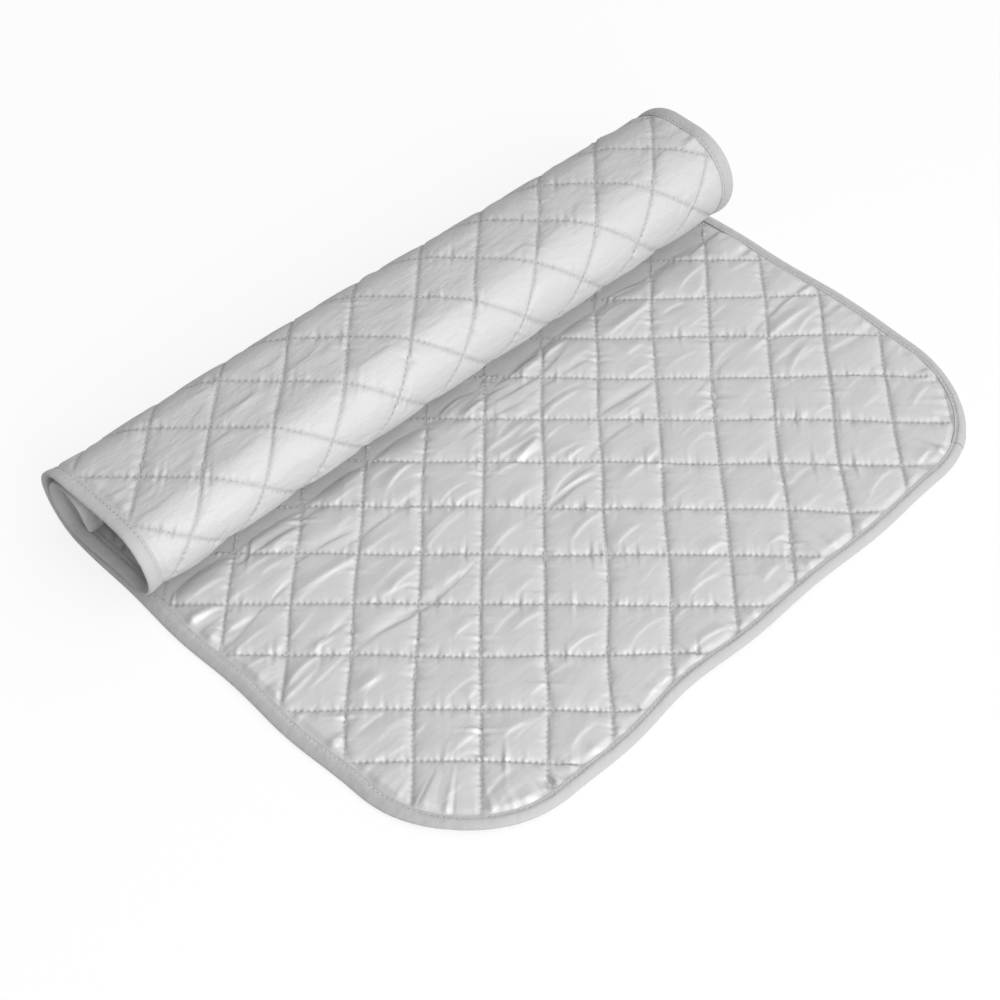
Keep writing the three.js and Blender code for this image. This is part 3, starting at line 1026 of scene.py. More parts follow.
    def grain(self, stretch: Stretch, side: Side) -> Grain:
        """How finely a stretch is meshed: fine where it shows, coarse where it is hidden.

        Args:
            stretch: the stretch of the mat.
            side: which cloth.

        Returns:
            The spacing of its points.
        """
        if stretch.name == "roll":
            return self.roll_grain if side is Side.BACK else self.hidden_grain
        return self.flap_grain if side is Side.FACE else self.under_grain

    def stations(self, start: float, end: float, step: float) -> np.ndarray:
        """Places along a stretch at which its cloth has points, wider apart inside the roll.

        Args:
            start: where the stretch starts.
            end: where it ends.
            step: about how far apart the places are where the cloth shows.

        Returns:
            The places from start to end.
        """
        shown = min(end, self.seen_end)
        found = np.linspace(start, shown, max(3, round((shown - start) / step)) + 1)
        if end > shown:
            hidden = np.linspace(shown, end, round((end - shown) / self.hidden_grain.along) + 1)
            found = np.append(found, hidden[1:])
        return found

    def cloth(self, stretch: Stretch, side: Side) -> bpy.types.Object:
        """One cloth over a stretch of the mat: its quilted outside, its flat inside and its edges.

        Args:
            stretch: the stretch of the mat.
            side: which cloth.

        Returns:
            The closed piece.
        """
        route = self.route
        inset = self.sizes.cover_inset
        grain = self.grain(stretch, side)
        start = max(stretch.start, -route.flap + inset)
        end = min(stretch.end, route.roll_length - inset)
        stations = self.stations(start, end, grain.along)
        columns = round(self.sizes.width / grain.across) + 1
        s = stations[:, None] * np.ones((1, columns))
        x = np.linspace(-1.0, 1.0, columns)[None, :] * route.half_width(s, inset)
        kept = np.unique(np.append(np.arange(0, columns, self.inner_share), columns - 1))
        under_x = np.concatenate([x[0], x[1:-1, kept].ravel(), x[-1]])
        under_s = np.concatenate([s[0], s[1:-1, kept].ravel(), s[-1]])
        outside = route.place(x, s, self.level(x, s, side))
        inside = route.place(under_x, under_s, side.value * self.inner_level)
        points = np.concatenate([outside.reshape(-1, 3), inside])
        faces = shell_faces(len(stations), columns, kept, side is Side.BACK)
        kind = Kind.FACE if side is Side.FACE else Kind.BACK
        piece = new_object(f"{kind.value}_{stretch.name}", points, faces)
        places = np.stack([np.append(x, under_x), np.append(s, under_s)], axis=-1)
        seam = bell(self.quilt.seam_distance(places[:, 0], places[:, 1]), self.seam_shade)
        set_cloth_data(piece, places, seam)
        normals = np.zeros_like(points)
        normals[: x.size] = self.normals(x, s, side).reshape(-1, 3)
        piece.data.normals_split_custom_set_from_vertices(normals.tolist())
        return piece

    def tape_share(self, s: np.ndarray) -> np.ndarray:
        """How much of the tape's full width shows: least on the front edge, all of it on the roll."""
        side = between(smooth_step(s, *self.roll_span), (self.side_share, 1.0))
        return between(smooth_step(s + self.route.flap, *self.front_span), (self.front_share, side))

    def tape_section(self, t: np.ndarray, s: np.ndarray) -> tuple[np.ndarray, np.ndarray]:
        """The folded tape's section at places along it, with puckers where it is sewn.

        Args:
            t: places along the tape.
            s: the same places along the mat.

        Returns:
            The inset and level of each point round the section, a row for each place.
        """
        loop = np.array(TAPE_UPPER + TAPE_LOWER + TAPE_INSIDE)
        inset = np.repeat(loop[None, :, 0], len(t), axis=0)
        level = np.repeat(loop[None, :, 1], len(t), axis=0)
        beat = self.sewn_dimple * np.cos(2 * np.pi * t / self.tape_stitch_pitch)
        sewn = bell(inset - self.tape_stitch_inset, self.sewn_reach)
        crown = bell(inset - self.sizes.tape_width / 2, self.crown_reach)
        ripple = sewn * (beat + self.sewn_ripple.at(t, t))[:, None]
        ripple += crown * self.crown_ripple.at(t, t)[:, None]
        upper = np.arange(len(loop)) < len(TAPE_UPPER)
        level = level + np.where(upper, ripple, 0.0)
        inset = inset + self.tape_sway.at(t, t)[:, None] * (inset > self.sway_from)
        return inset * self.tape_share(s)[:, None], level

    def tape_strip(self, x: np.ndarray, s: np.ndarray, level: np.ndarray) -> Strip:
        """Skins a run of tape sections, whose first and last are only there for the normals.

        Args:
            x: place across the mat of each point, a row for each section.
            s: place along the mat.
            level: level off the middle of the mat.

        Returns:
            The closed strip.
        """
        points = self.route.place(x, s, level)
        round_way = np.roll(points, -1, axis=1) - np.roll(points, 1, axis=1)
        normals = unit(np.cross(round_way, np.gradient(points, axis=0)))[1:-1]
        points = points[1:-1]
        rows, count = points.shape[:2]
        number = np.arange(rows * count).reshape(rows, count)
        faces = grid_faces(np.concatenate([number, number[:, :1]], axis=1))
        faces += [tuple(number[0][::-1].tolist()), tuple(number[-1].tolist())]
        outward = points - points.mean(axis=1, keepdims=True)
        if float(np.mean(np.sum(normals * outward, axis=-1))) < 0:
            normals = -normals
            faces = [face[::-1] for face in faces]
        flat = np.stack([x[1:-1], s[1:-1]], axis=-1)
        return Strip(points.reshape(-1, 3), faces, normals.reshape(-1, 3), flat.reshape(-1, 2))

    def side_sections(self, start: float, end: float, hand: int) -> Sections:
        """Tape sections along one side of the mat, each cut straight across.

        Args:
            start: where the run starts along the mat.
            end: where it ends.
            hand: -1 on the left side and 1 on the right.

        Returns:
            The x, s and level of every point, with a spare section at each end.
        """
        count = max(2, round((end - start) / self.tape_step))
        step = (end - start) / count
        t = start + step * np.arange(-1, count + 2)
        inset, level = self.tape_section(t, t)
        s = np.repeat(t[:, None], inset.shape[1], axis=1)
        return hand * self.route.half_width(s, inset), s, level

    def end_sections(self, cut: float, front: bool) -> Sections:
        """Tape sections round a free end of the mat, from its left side to its right.

        Args:
            cut: where the end's sides start, along the mat.
            front: whether it is the front edge or the end inside the roll.

        Returns:
            The x, s and level of every point, with a spare section at each end.
        """
        radius = self.sizes.corner_radius
        straight = self.sizes.width / 2 - radius
        deep = float(self.route.from_end(np.array(cut)))
        ramp = np.array([deep + self.tape_step, deep])
        height = (radius - deep + self.corner_start) / (radius - self.sizes.tape_width)
        least = math.asin(np.clip(height, 0.0, 1.0))
        count = max(4, round(radius * (math.pi / 2 - least) / self.tape_step))
        turn = np.linspace(least, math.pi / 2, count)
        run = np.linspace(-straight, straight, round(2 * straight / self.tape_step))[1:-1]
        arc = turn * radius
        t_left = np.concatenate([ramp, deep - (arc - arc[0]) - self.tape_step])
        off_left = np.concatenate([ramp, radius - radius * np.sin(turn)])
        off = np.concatenate([off_left, np.zeros_like(run), off_left[::-1]])
        base = off - self.route.flap if front else self.route.roll_length - off
        inset, level = self.tape_section(np.concatenate([t_left, run, t_left[::-1]]), base)
        x = np.zeros_like(inset)
        v = np.zeros_like(inset)
        half = len(ramp)
        total = len(t_left)
        for k in range(total):
            for row, hand in ((k, -1), (len(inset) - 1 - k, 1)):
                if k < half:
                    v[row] = ramp[k]
                    end_s = np.full_like(inset[row], ramp[k] - self.route.flap)
                    x[row] = hand * self.route.half_width(end_s, inset[row])
                else:
                    angle = turn[k - half]
                    x[row] = hand * (straight + (radius - inset[row]) * math.cos(angle))
                    v[row] = radius - (radius - inset[row]) * math.sin(angle)
        middle = slice(total, total + len(run))
        x[middle] = run[:, None]
        v[middle] = inset[middle]
        s = v - self.route.flap if front else self.route.roll_length - v
        return x, s, level

    def joint_sections(self) -> Sections:
        """The lapped end of the tape on the right front corner: a short second thickness.

        Returns:
            The x, s and level of every point, with a spare section at each end.
        """
        radius = self.sizes.corner_radius
        middle = math.radians(self.joint_angle) * radius
        arc = np.linspace(middle - self.joint_reach, middle + self.joint_reach, self.joint_count)
        inset, level = self.tape_section(arc, radius - radius * np.sin(arc / radius) - self.route.flap)
        counts = (len(TAPE_UPPER), len(TAPE_LOWER), len(TAPE_INSIDE))
        grown = np.repeat((self.joint_rise, -self.joint_rise, 0.0), counts)
        level = np.maximum(level + grown, -self.sizes.half)
        inset = inset - self.joint_lip * (inset < self.joint_lip_inset)
        angle = (arc / radius)[:, None]
        x = self.sizes.width / 2 - radius + (radius - inset) * np.cos(angle)
        v = radius - (radius - inset) * np.sin(angle)
        return x, v - self.route.flap, level

    def tape(self, stretch: Stretch) -> bpy.types.Object:
        """The folded tape round the edge of a stretch.

        Args:
            stretch: the stretch of the mat.

        Returns:
            The closed piece.
        """
        if stretch.name == "front":
            runs = [self.end_sections(stretch.end, True), self.joint_sections()]
        elif stretch.name == "roll":
            cut = self.route.roll_length - self.sizes.corner_radius
            runs = [self.side_sections(stretch.start, cut, hand) for hand in (-1, 1)]
            runs.append(self.end_sections(cut, False))
        else:
            runs = [self.side_sections(stretch.start, stretch.end, hand) for hand in (-1, 1)]
        strips = [self.tape_strip(*run) for run in runs]
        faces = []
        first = 0
        for strip in strips:
            faces += [tuple(i + first for i in face) for face in strip.faces]
            first += len(strip.points)
        points = np.concatenate([strip.points for strip in strips])
        normals = np.concatenate([strip.normals for strip in strips])
        places = np.concatenate([strip.flat for strip in strips])
        piece = new_object(f"{Kind.TAPE.value}_{stretch.name}", points, faces)
        sewn = self.route.edge_distance(places[:, 0], places[:, 1])
        sewn -= self.tape_stitch_inset * self.tape_share(places[:, 1])
        set_cloth_data(piece, places, bell(sewn, self.tape_shade))
        piece.data.normals_split_custom_set_from_vertices(normals.tolist())
        return piece

    def seam_stitches(self, stretch: Stretch, side: Side) -> np.ndarray:
        """The quilting stitches of one cloth on a stretch.

        Args:
            stretch: the stretch of the mat.
            side: which cloth.

        Returns:
            The x, s, level and direction of each stitch.
        """
        end = stretch.end
        if stretch.name == "roll":
            end = self.seen_end if side is Side.BACK else stretch.start
        most = self.seam_lines
        count = round(self.sizes.quilt_square / self.quilt.STITCH_PITCH)
        reach = np.arange(-most * count, most * count) / count + 0.5 / count
        line = np.arange(-most, most + 1)
        lines, along = (v.ravel().astype(float) for v in np.meshgrid(line, reach))
        found = []
        for a, b, slant in ((lines, along, -1), (along, lines, 1)):
            u = a + b + self.sizes.quilt_shift
            x = u * self.sizes.column
            s = (a - b) * self.route.row
            held = (s >= stretch.start) & (s < end)
            clear = self.sizes.tape_width * self.tape_share(s) + self.seam_margin
            held &= self.route.edge_distance(x, s) > clear
            x, s = x[held], s[held]
            angle = np.full_like(x, slant * math.atan2(self.route.row, self.sizes.column))
            found.append(np.stack([x, s, self.level(x, s, side), angle], axis=-1))
        return np.concatenate(found)

    def tape_stitches(self, stretch: Stretch, side: Side) -> np.ndarray:
        """The stitches along the inner edge of the tape on a stretch.

        Args:
            stretch: the stretch of the mat.
            side: which side of the mat.

        Returns:
            The x, s, level and direction of each stitch.
        """
        pitch = self.tape_stitch_pitch
        radius = self.sizes.corner_radius
        straight = self.sizes.width / 2 - radius
        corner_s = -self.route.flap + radius
        end = min(stretch.end, self.seen_end)
        first = math.ceil(max(stretch.start, corner_s) / pitch)
        rows = np.arange(first, math.ceil(end / pitch)) * pitch
        step = pitch / (radius - self.tape_stitch_inset)
        angle = np.arange(step / 2, math.pi / 2, step)
        reach = radius - self.tape_stitch_inset * self.tape_share(corner_s - radius * np.sin(angle))
        edge = np.arange(-straight, straight, pitch)
        level = self.face_stitch_level if side is Side.FACE else self.back_stitch_level
        found = []
        for hand in (-1, 1):
            x = hand * (self.sizes.width / 2 - self.tape_stitch_inset * self.tape_share(rows))
            found.append(np.stack([x, rows, np.full_like(rows, math.pi / 2)], axis=-1))
            corner = [hand * (straight + reach * np.cos(angle)), corner_s - reach * np.sin(angle)]
            found.append(np.stack([*corner, hand * (angle + math.pi / 2)], axis=-1))
        across = np.full_like(edge, self.tape_stitch_inset * self.front_share - self.route.flap)
        found.append(np.stack([edge, across, np.zeros_like(edge)], axis=-1))
        places = np.concatenate(found)
        places = places[(places[:, 1] >= stretch.start) & (places[:, 1] < end)]
        return np.insert(places, 2, level, axis=1)

    def stitching(self, stretch: Stretch, stitch: Stitch) -> bpy.types.Object:
        """Every stitch that shows on a stretch, as one piece.

        Args:
            stretch: the stretch of the mat.
            stitch: the stitch to copy.

        Returns:
            The piece.
        """
        points, faces = [], []
        for side in Side:
            places = np.concatenate([self.seam_stitches(stretch, side), self.tape_stitches(stretch, side)])
            x, s, level, angle = (places[:, i][:, None] for i in range(4))
            long, wide, up = (stitch.points[None, :, i] for i in range(3))
            at_x = x + long * np.cos(angle) - wide * np.sin(angle)
            at_s = s + long * np.sin(angle) + wide * np.cos(angle)
            laid = self.route.place(at_x, at_s, level + side.value * (up + stitch.sink))
            first = sum(len(p) for p in points)
            points.append(laid.reshape(-1, 3))
            per = len(stitch.points)
            starts = first + per * np.arange(len(places))
            for face in stitch.faces:
                order = face if side is Side.FACE else face[::-1]
                faces += [tuple(f) for f in (starts[:, None] + np.array(order)).tolist()]
        return new_object(f"{Kind.THREAD.value}_{stretch.name}", np.concatenate(points), faces)


def linear(code: str) -> tuple[float, float, float, float]:
    """Turns an sRGB hex value to linear colour.

    Args:
        code: six hex digits.

    Returns:
        Red, green, blue and alpha.
    """
    parts = [int(code[i : i + 2], 16) / 255 for i in (0, 2, 4)]
    values = [v / 12.92 if v <= 0.04045 else ((v + 0.055) / 1.055) ** 2.4 for v in parts]
    return (values[0], values[1], values[2], 1.0)


def add_node(
    tree: bpy.types.NodeTree, kind: str, inputs: dict | None = None, **settings: object
) -> bpy.types.Node:
    """Adds a node with its settings, values and links.

    Args:
        tree: the node tree.
        kind: the node's type.
        inputs: a value or another node's socket for each input.
        settings: the node's own settings.

    Returns:
        The new node.
    """
    made = tree.nodes.new(kind)
    for name, value in settings.items():
        setattr(made, name, value)
    for name, value in (inputs or {}).items():
        if isinstance(value, bpy.types.NodeSocket):
            tree.links.new(value, made.inputs[name])
        else:
            made.inputs[name].default_value = value
    return made


def new_material(name: str) -> tuple[bpy.types.Material, bpy.types.NodeTree]:
    """Makes a material with an empty node tree.

    Args:
        name: the name of the material.

    Returns:
        The material and its tree.
    """
    material = bpy.data.materials.new(name)
    material.use_nodes = True
    material.node_tree.nodes.clear()
    return material, material.node_tree


@dataclass(frozen=True)
class CoatedTaffeta:
    """Aluminium-coated polyester taffeta: a thin crisp cloth with a satin silver coat.

    The coat gives soft wide highlights that break up on its crinkles, and its colour is darkened along the
    seams as painted shade in their grooves.
    """

    name: str
    colour: str
    # The colour mixed in on the seams: painted shade in the seam grooves.
    seam_groove_shade: str
    metallic: float = 0.42
    smooth: float = 0.48
    dull: float = 0.6
    crinkle_mm: float = 7.0
    crinkle_draw: float = 0.4
    crinkle_strength: float = 0.4
    cloud_mm: float = 40.0
    crinkle_rise_mm: float = 1.2
    crinkle_turn: float = 0.2
    thread_mm: float = 0.9
    thread_rise_mm: float = 0.08
    groove_shade_share: float = 0.55

    def build(self) -> bpy.types.Material:
        """Makes the material."""
        material, tree = new_material(self.name)
        places = add_node(tree, "ShaderNodeUVMap", uv_map=CLOTH_UV).outputs["UV"]
        seam = add_node(tree, "ShaderNodeAttribute", attribute_name=SEAM_ATTRIBUTE).outputs["Fac"]
        cloud = add_node(
            tree,
            "ShaderNodeTexNoise",
            {"Vector": places, "Scale": 1 / (self.cloud_mm * MM), "Detail": 3.0},
        )
        rough = add_node(
            tree,
            "ShaderNodeMapRange",
            {
                "Value": cloud.outputs["Fac"],
                "From Min": 0.3,
                "From Max": 0.7,
                "To Min": self.smooth,
                "To Max": self.dull,
            },
        )
        # Painted shade: the colour darkens towards the seam colour along the seam grooves.
        groove_shade_mix = add_node(tree, "ShaderNodeMath", {0: seam, 1: self.groove_shade_share}, operation="MULTIPLY")
        colour = add_node(
            tree,
            "ShaderNodeMix",
            {"Factor": groove_shade_mix.outputs[0], "A": linear(self.colour), "B": linear(self.seam_groove_shade)},
            data_type="RGBA",
        )
        # The real thread is about 0.2 mm, too fine to show, so the weave is drawn coarser.
        weave = add_node(
            tree,
            "ShaderNodeTexChecker",
            {"Vector": places, "Scale": 1 / (self.thread_mm * MM)},
        )
        drawn = add_node(
            tree,
            "ShaderNodeMapping",
            {
                "Vector": places,
                "Rotation": (0.0, 0.0, self.crinkle_turn),
                "Scale": (self.crinkle_draw, 1.0, 1.0),
            },
        )
        crinkle = add_node(
            tree,
            "ShaderNodeTexNoise",
            {
                "Vector": drawn.outputs["Vector"],
                "Scale": 1 / (self.crinkle_mm * MM),
                "Detail": 4.0,
                "Roughness": 0.62,
            },
        )
        fine = add_node(
            tree,
            "ShaderNodeBump",
            {"Height": weave.outputs["Fac"], "Strength": 0.1, "Distance": self.thread_rise_mm * MM},
        )
        crisp = add_node(
            tree,
            "ShaderNodeBump",
            {
                "Height": crinkle.outputs["Fac"],
                "Strength": self.crinkle_strength,
                "Distance": self.crinkle_rise_mm * MM,
                "Normal": fine.outputs["Normal"],
            },
        )
        shader = add_node(
            tree,
            "ShaderNodeBsdfPrincipled",
            {
                "Base Color": colour.outputs["Result"],
                "Metallic": self.metallic,
                "Roughness": rough.outputs["Result"],
                "Normal": crisp.outputs["Normal"],
            },
        )
        add_node(tree, "ShaderNodeOutputMaterial", {"Surface": shader.outputs["BSDF"]})
        return material


@dataclass(frozen=True)
class WovenTape:
    """Polyester bias tape: a matte plain weave, with painted shade along the groove of its line of stitches,
    patchy along it.
    """

    name: str = "grey_bias_tape"
    colour: str = "b2b2b2"
    # The colour mixed in along the line of stitches: painted shade of the groove that the thread pulls in.
    drawn: str = "acacac"
    thread_mm: float = 0.8
    thread_rise_mm: float = 0.1
    wrinkle_mm: float = 5.0
    wrinkle_rise_mm: float = 1.2
    cloud_mm: float = 18.0

    def build(self) -> bpy.types.Material:
        """Makes the material."""
        material, tree = new_material(self.name)
        places = add_node(tree, "ShaderNodeUVMap", uv_map=CLOTH_UV).outputs["UV"]
        seam = add_node(tree, "ShaderNodeAttribute", attribute_name=SEAM_ATTRIBUTE).outputs["Fac"]
        cloud = add_node(
            tree,
            "ShaderNodeTexNoise",
            {"Vector": places, "Scale": 1 / (self.cloud_mm * MM), "Detail": 4.0},
        )
        # Painted shade along the stitched groove, patchy along its length.
        shade = add_node(tree, "ShaderNodeMath", {0: seam, 1: cloud.outputs["Fac"]}, operation="MULTIPLY")
        colour = add_node(
            tree,
            "ShaderNodeMix",
            {"Factor": shade.outputs[0], "A": linear(self.colour), "B": linear(self.drawn)},
            data_type="RGBA",
        )
        # The real thread is about 0.25 mm, too fine to show, so the weave is drawn coarser.
        weave = add_node(
            tree,
            "ShaderNodeTexChecker",
            {"Vector": places, "Scale": 1 / (self.thread_mm * MM)},
        )
        fine = add_node(
            tree,
            "ShaderNodeBump",
            {"Height": weave.outputs["Fac"], "Strength": 0.3, "Distance": self.thread_rise_mm * MM},
        )
        wrinkle = add_node(
            tree,
            "ShaderNodeTexNoise",
            {"Vector": places, "Scale": 1 / (self.wrinkle_mm * MM), "Detail": 2.0},
        )
        bump = add_node(
            tree,
            "ShaderNodeBump",
            {
                "Height": wrinkle.outputs["Fac"],
                "Strength": 0.5,
                "Distance": self.wrinkle_rise_mm * MM,
                "Normal": fine.outputs["Normal"],
            },
        )
        shader = add_node(
            tree,
            "ShaderNodeBsdfPrincipled",
            {
                "Base Color": colour.outputs["Result"],
                "Roughness": 0.62,
                "Sheen Weight": 0.2,
                "Normal": bump.outputs["Normal"],
            },
        )
        add_node(tree, "ShaderNodeOutputMaterial", {"Surface": shader.outputs["BSDF"]})
        return material


@dataclass(frozen=True)
class SewingThread:
    """Spun polyester sewing thread: matte grey, with its ply showing as fine slanted shade."""

    name: str = "grey_sewing_thread"
    colour: str = "c4c4c4"
    shade: str = "b0b0b0"
    ply_mm: float = 0.7

    def build(self) -> bpy.types.Material:
        """Makes the material."""
        material, tree = new_material(self.name)
        places = add_node(tree, "ShaderNodeTexCoord").outputs["Object"]
        ply = add_node(
            tree,
            "ShaderNodeTexWave",
            {"Vector": places, "Scale": 1 / (self.ply_mm * MM) / math.tau, "Distortion": 1.0},
            bands_direction="DIAGONAL",
        )
        colour = add_node(
            tree,
            "ShaderNodeMix",
            {"Factor": ply.outputs["Fac"], "A": linear(self.colour), "B": linear(self.shade)},
            data_type="RGBA",
        )
        shader = add_node(
            tree,
            "ShaderNodeBsdfPrincipled",
            {"Base Color": colour.outputs["Result"], "Roughness": 0.55},
        )
        add_node(tree, "ShaderNodeOutputMaterial", {"Surface": shader.outputs["BSDF"]})
        return material


@dataclass(frozen=True)
class PaleFloor:
    """Pale matt studio paper: white to the camera but for a soft shadow, and greyer in its bounced light."""

    name: str = "pale_studio_floor"
    colour: str = "f4f4f4"
    bounce: str = "c4c4c4"
    shine_through: float = 0.8
    fade_start: float = 0.5
    fade_end: float = 1.3

    def build(self) -> bpy.types.Material:
        """Makes the material."""
        material, tree = new_material(self.name)
        path = add_node(tree, "ShaderNodeLightPath")
        places = add_node(tree, "ShaderNodeTexCoord").outputs["Object"]
        away = add_node(tree, "ShaderNodeVectorMath", {0: places}, operation="LENGTH")
        shine = add_node(
            tree,
            "ShaderNodeMapRange",
            {
                "Value": away.outputs["Value"],
                "From Min": self.fade_start,
                "From Max": self.fade_end,
                "To Min": self.shine_through,
                "To Max": 1.0,
            },
        )
        share = add_node(
            tree,
            "ShaderNodeMath",
            {0: path.outputs["Is Camera Ray"], 1: shine.outputs["Result"]},
            operation="MULTIPLY",
        )
        shade = add_node(
            tree,
            "ShaderNodeMix",
            {"Factor": path.outputs["Is Camera Ray"], "A": linear(self.bounce), "B": linear(self.colour)},
            data_type="RGBA",
        )
        matte = add_node(tree, "ShaderNodeBsdfDiffuse", {"Color": shade.outputs["Result"]})
        white = add_node(tree, "ShaderNodeEmission", {"Color": (1.0, 1.0, 1.0, 1.0), "Strength": 1.0})
        mixed = add_node(
            tree,
            "ShaderNodeMixShader",
            {0: share.outputs[0], 1: matte.outputs["BSDF"], 2: white.outputs["Emission"]},
        )
        add_node(tree, "ShaderNodeOutputMaterial", {"Surface": mixed.outputs["Shader"]})
        return material


@dataclass(frozen=True)
class SoftBox:
    """A soft studio lamp: where it hangs, what it points at, its size in metres and its power in watts."""

    name: str
    place: tuple[float, float, float]
    aim: tuple[float, float, float]
    size: float
    power: float

    def hang(self) -> None:
        """Adds the lamp to the studio."""
        bpy.ops.object.light_add(type="AREA", location=self.place)
        lamp = bpy.context.object
        lamp.name = self.name
        lamp.data.shape = "SQUARE"
        lamp.data.size = self.size
        lamp.data.energy = self.power
        lamp.rotation_euler = (Vector(self.aim) - Vector(self.place)).to_track_quat("-Z", "Y").to_euler()


@dataclass
class Studio:
    """The floor, the light and the camera, which stands where the photograph was taken from."""

    eye_mm: tuple[float, float, float] = (-508.8, -472.85, 780.0)
    target_mm: tuple[float, float, float] = (-40.0, -2.48, 0.0)
    roll_degrees: float = 0.25
    focal_pixels: float = 1702.4
    picture_pixels: float = 1000.0
    sensor_mm: float = 36.0
    floor_m: float = 12.0
    floor_drop_mm: float = 0.4
    sky_strength: float = 1.36
    sky_low: float = 0.54
    sky_top: tuple[float, float, float] = (0.3, -0.68, 0.67)
    sky_dim: tuple[float, float, float] = (-0.93, 0.12, 0.34)
    dim_span: Span = (0.2, 0.9)
    dim_share: float = 0.4
    lamps: tuple[SoftBox, ...] = (
        SoftBox("front_softbox", (-0.35, -1.7, 0.98), (0.0, 0.0, 0.02), 1.7, 26.5),
    )

    def build(self) -> None:
        """Adds the floor, the lamps, the sky and the camera."""
        self.lay_floor()
        for lamp in self.lamps:
            lamp.hang()
        self.light_sky()
        self.stand_camera()
        bpy.context.scene.view_settings.view_transform = "Standard"

    def lay_floor(self) -> None:
        """Lays the floor just under the mat."""
        bpy.ops.object.select_all(action="DESELECT")
        under = (0.0, 0.0, -self.floor_drop_mm * MM)
        bpy.ops.mesh.primitive_plane_add(size=self.floor_m, location=under)
        floor = bpy.context.object
        floor.name = "studio_floor"
        bpy.ops.object.transform_apply(location=True, rotation=True, scale=True)
        floor.data.materials.append(PaleFloor().build())

    def light_sky(self) -> None:
        """Lights the room, most from the front and least from the left, and shows white to the camera."""
        world = bpy.data.worlds.new("studio_sky")
        bpy.context.scene.world = world
        world.use_nodes = True
        tree = world.node_tree
        tree.nodes.clear()
        way = add_node(tree, "ShaderNodeTexCoord").outputs["Generated"]
        toward = add_node(tree, "ShaderNodeVectorMath", {0: way, 1: self.sky_top}, operation="DOT_PRODUCT")
        graded = add_node(
            tree,
            "ShaderNodeMapRange",
            {
                "Value": toward.outputs["Value"],
                "From Min": 0.0,
                "From Max": 1.0,
                "To Min": self.sky_low,
                "To Max": self.sky_strength,
            },
        )
        aside = add_node(tree, "ShaderNodeVectorMath", {0: way, 1: self.sky_dim}, operation="DOT_PRODUCT")
        dimmed = add_node(
            tree,
            "ShaderNodeMapRange",
            {
                "Value": aside.outputs["Value"],
                "From Min": self.dim_span[0],
                "From Max": self.dim_span[1],
                "To Min": 1.0,
                "To Max": self.dim_share,
            },
        )
        lit = add_node(
            tree,
            "ShaderNodeMath",
            {0: graded.outputs["Result"], 1: dimmed.outputs["Result"]},
            operation="MULTIPLY",
        )
        path = add_node(tree, "ShaderNodeLightPath")
        strength = add_node(
            tree,
            "ShaderNodeMix",
            {"Factor": path.outputs["Is Camera Ray"], "A": lit.outputs[0], "B": 1.0},
        )
        sky = add_node(
            tree,
            "ShaderNodeBackground",
            {"Color": (1.0, 1.0, 1.0, 1.0), "Strength": strength.outputs["Result"]},
        )
        add_node(tree, "ShaderNodeOutputWorld", {"Surface": sky.outputs["Background"]})

    def stand_camera(self) -> None:
        """Stands the camera at the photograph's place and angle."""
        eye = Vector(self.eye_mm) * MM
        target = Vector(self.target_mm) * MM
        bpy.ops.object.camera_add(location=eye)
        camera = bpy.context.object
        camera.name = "photo_camera"
        camera.data.sensor_width = self.sensor_mm
        camera.data.lens = self.sensor_mm * self.focal_pixels / self.picture_pixels
        camera.data.clip_start = 0.01
        turn = (target - eye).to_track_quat("-Z", "Y")
        roll = Quaternion((0.0, 0.0, 1.0), math.radians(self.roll_degrees))
        camera.rotation_euler = (turn @ roll).to_euler()
        bpy.context.scene.camera = camera


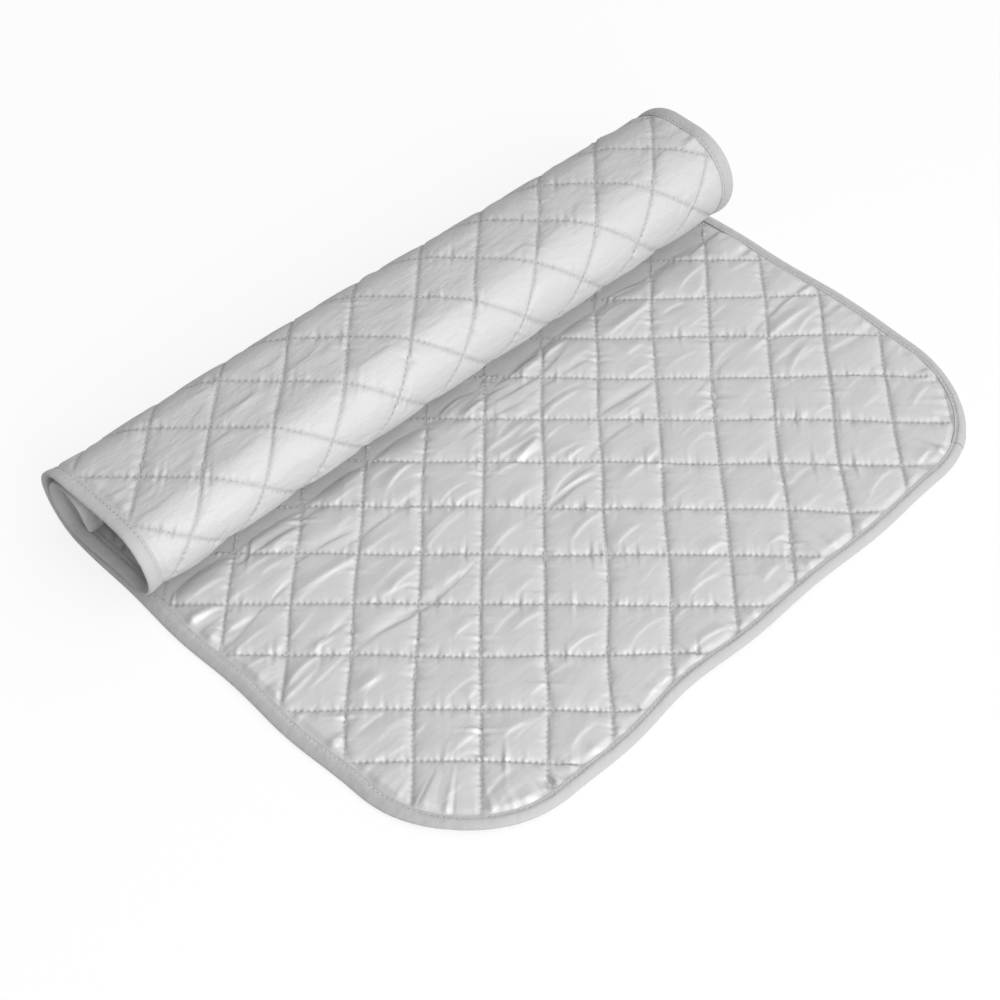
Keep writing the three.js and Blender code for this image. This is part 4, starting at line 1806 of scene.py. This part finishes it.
@dataclass
class DressedPad:
    """The mat's pieces with their finishes, each tied to its body when it has only one."""

    mat: Mat = field(default_factory=Mat)
    # The third colour of each cloth is its painted shade in the seam grooves.
    face_finish: CoatedTaffeta = CoatedTaffeta("silver_coated_taffeta_face", "cecece", "acacac")
    back_finish: CoatedTaffeta = CoatedTaffeta(
        "silver_coated_taffeta_back",
        "c4c4c4",
        "a4a4a4",
        metallic=0.22,
        smooth=0.56,
        dull=0.68,
        crinkle_strength=0.9,
    )
    tape_finish: WovenTape = WovenTape()
    thread_finish: SewingThread = SewingThread()
    bend_margin: float = 2.5

    def build(self) -> None:
        """Builds every stretch of the mat in order."""
        finishes = {
            Kind.FACE: self.face_finish.build(),
            Kind.BACK: self.back_finish.build(),
            Kind.TAPE: self.tape_finish.build(),
            Kind.THREAD: self.thread_finish.build(),
        }
        stitch = Stitch()
        for stretch in self.mat.stretches():
            made = {
                Kind.FACE: self.mat.cloth(stretch, Side.FACE),
                Kind.BACK: self.mat.cloth(stretch, Side.BACK),
                Kind.TAPE: self.mat.tape(stretch),
                Kind.THREAD: self.mat.stitching(stretch, stitch),
            }
            for kind, piece in made.items():
                piece.data.materials.append(finishes[kind])
                self.carry(piece, stretch)
                self.stand_for(kind, stretch)
                log.info("%s: %d faces", piece.name, len(piece.data.polygons))

    def carry(self, piece: bpy.types.Object, stretch: Stretch) -> None:
        """Lets a piece ride on its body, or fixes it where it lies when it has two.

        Args:
            piece: the piece.
            stretch: the stretch that it belongs to.
        """
        if len(stretch.bodies) == 1:
            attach(piece, stretch.bodies[0])
            return
        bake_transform(piece)

    def stand_for(self, kind: Kind, stretch: Stretch) -> None:
        """Hides the solids that a piece stands for.

        Args:
            kind: what it is made of.
            stretch: the stretch that it belongs to.
        """
        covers = {Kind.FACE: ("face_cover", "wadding"), Kind.BACK: ("back_cover",)}
        nodes = [f"{cover}_{label}" for cover in covers.get(kind, ()) for label in stretch.cover_nodes]
        if kind is Kind.TAPE:
            nodes += stretch.tape_nodes
        if nodes:
            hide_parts(*nodes)


def main() -> None:
    """Loads the frame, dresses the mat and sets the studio."""
    logging.basicConfig(level=logging.INFO, format="%(name)s %(message)s")
    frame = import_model()
    pad = DressedPad()
    bend_line = frame["joints"][0]["pos_m"][1] / MM
    drift = bend_line - pad.mat.route.flap - pad.mat.route.shift_y
    log.info("last bend line is %.3f mm from the frame's", drift)
    pad.build()
    Studio().build()


if __name__ == "__main__":
    main()
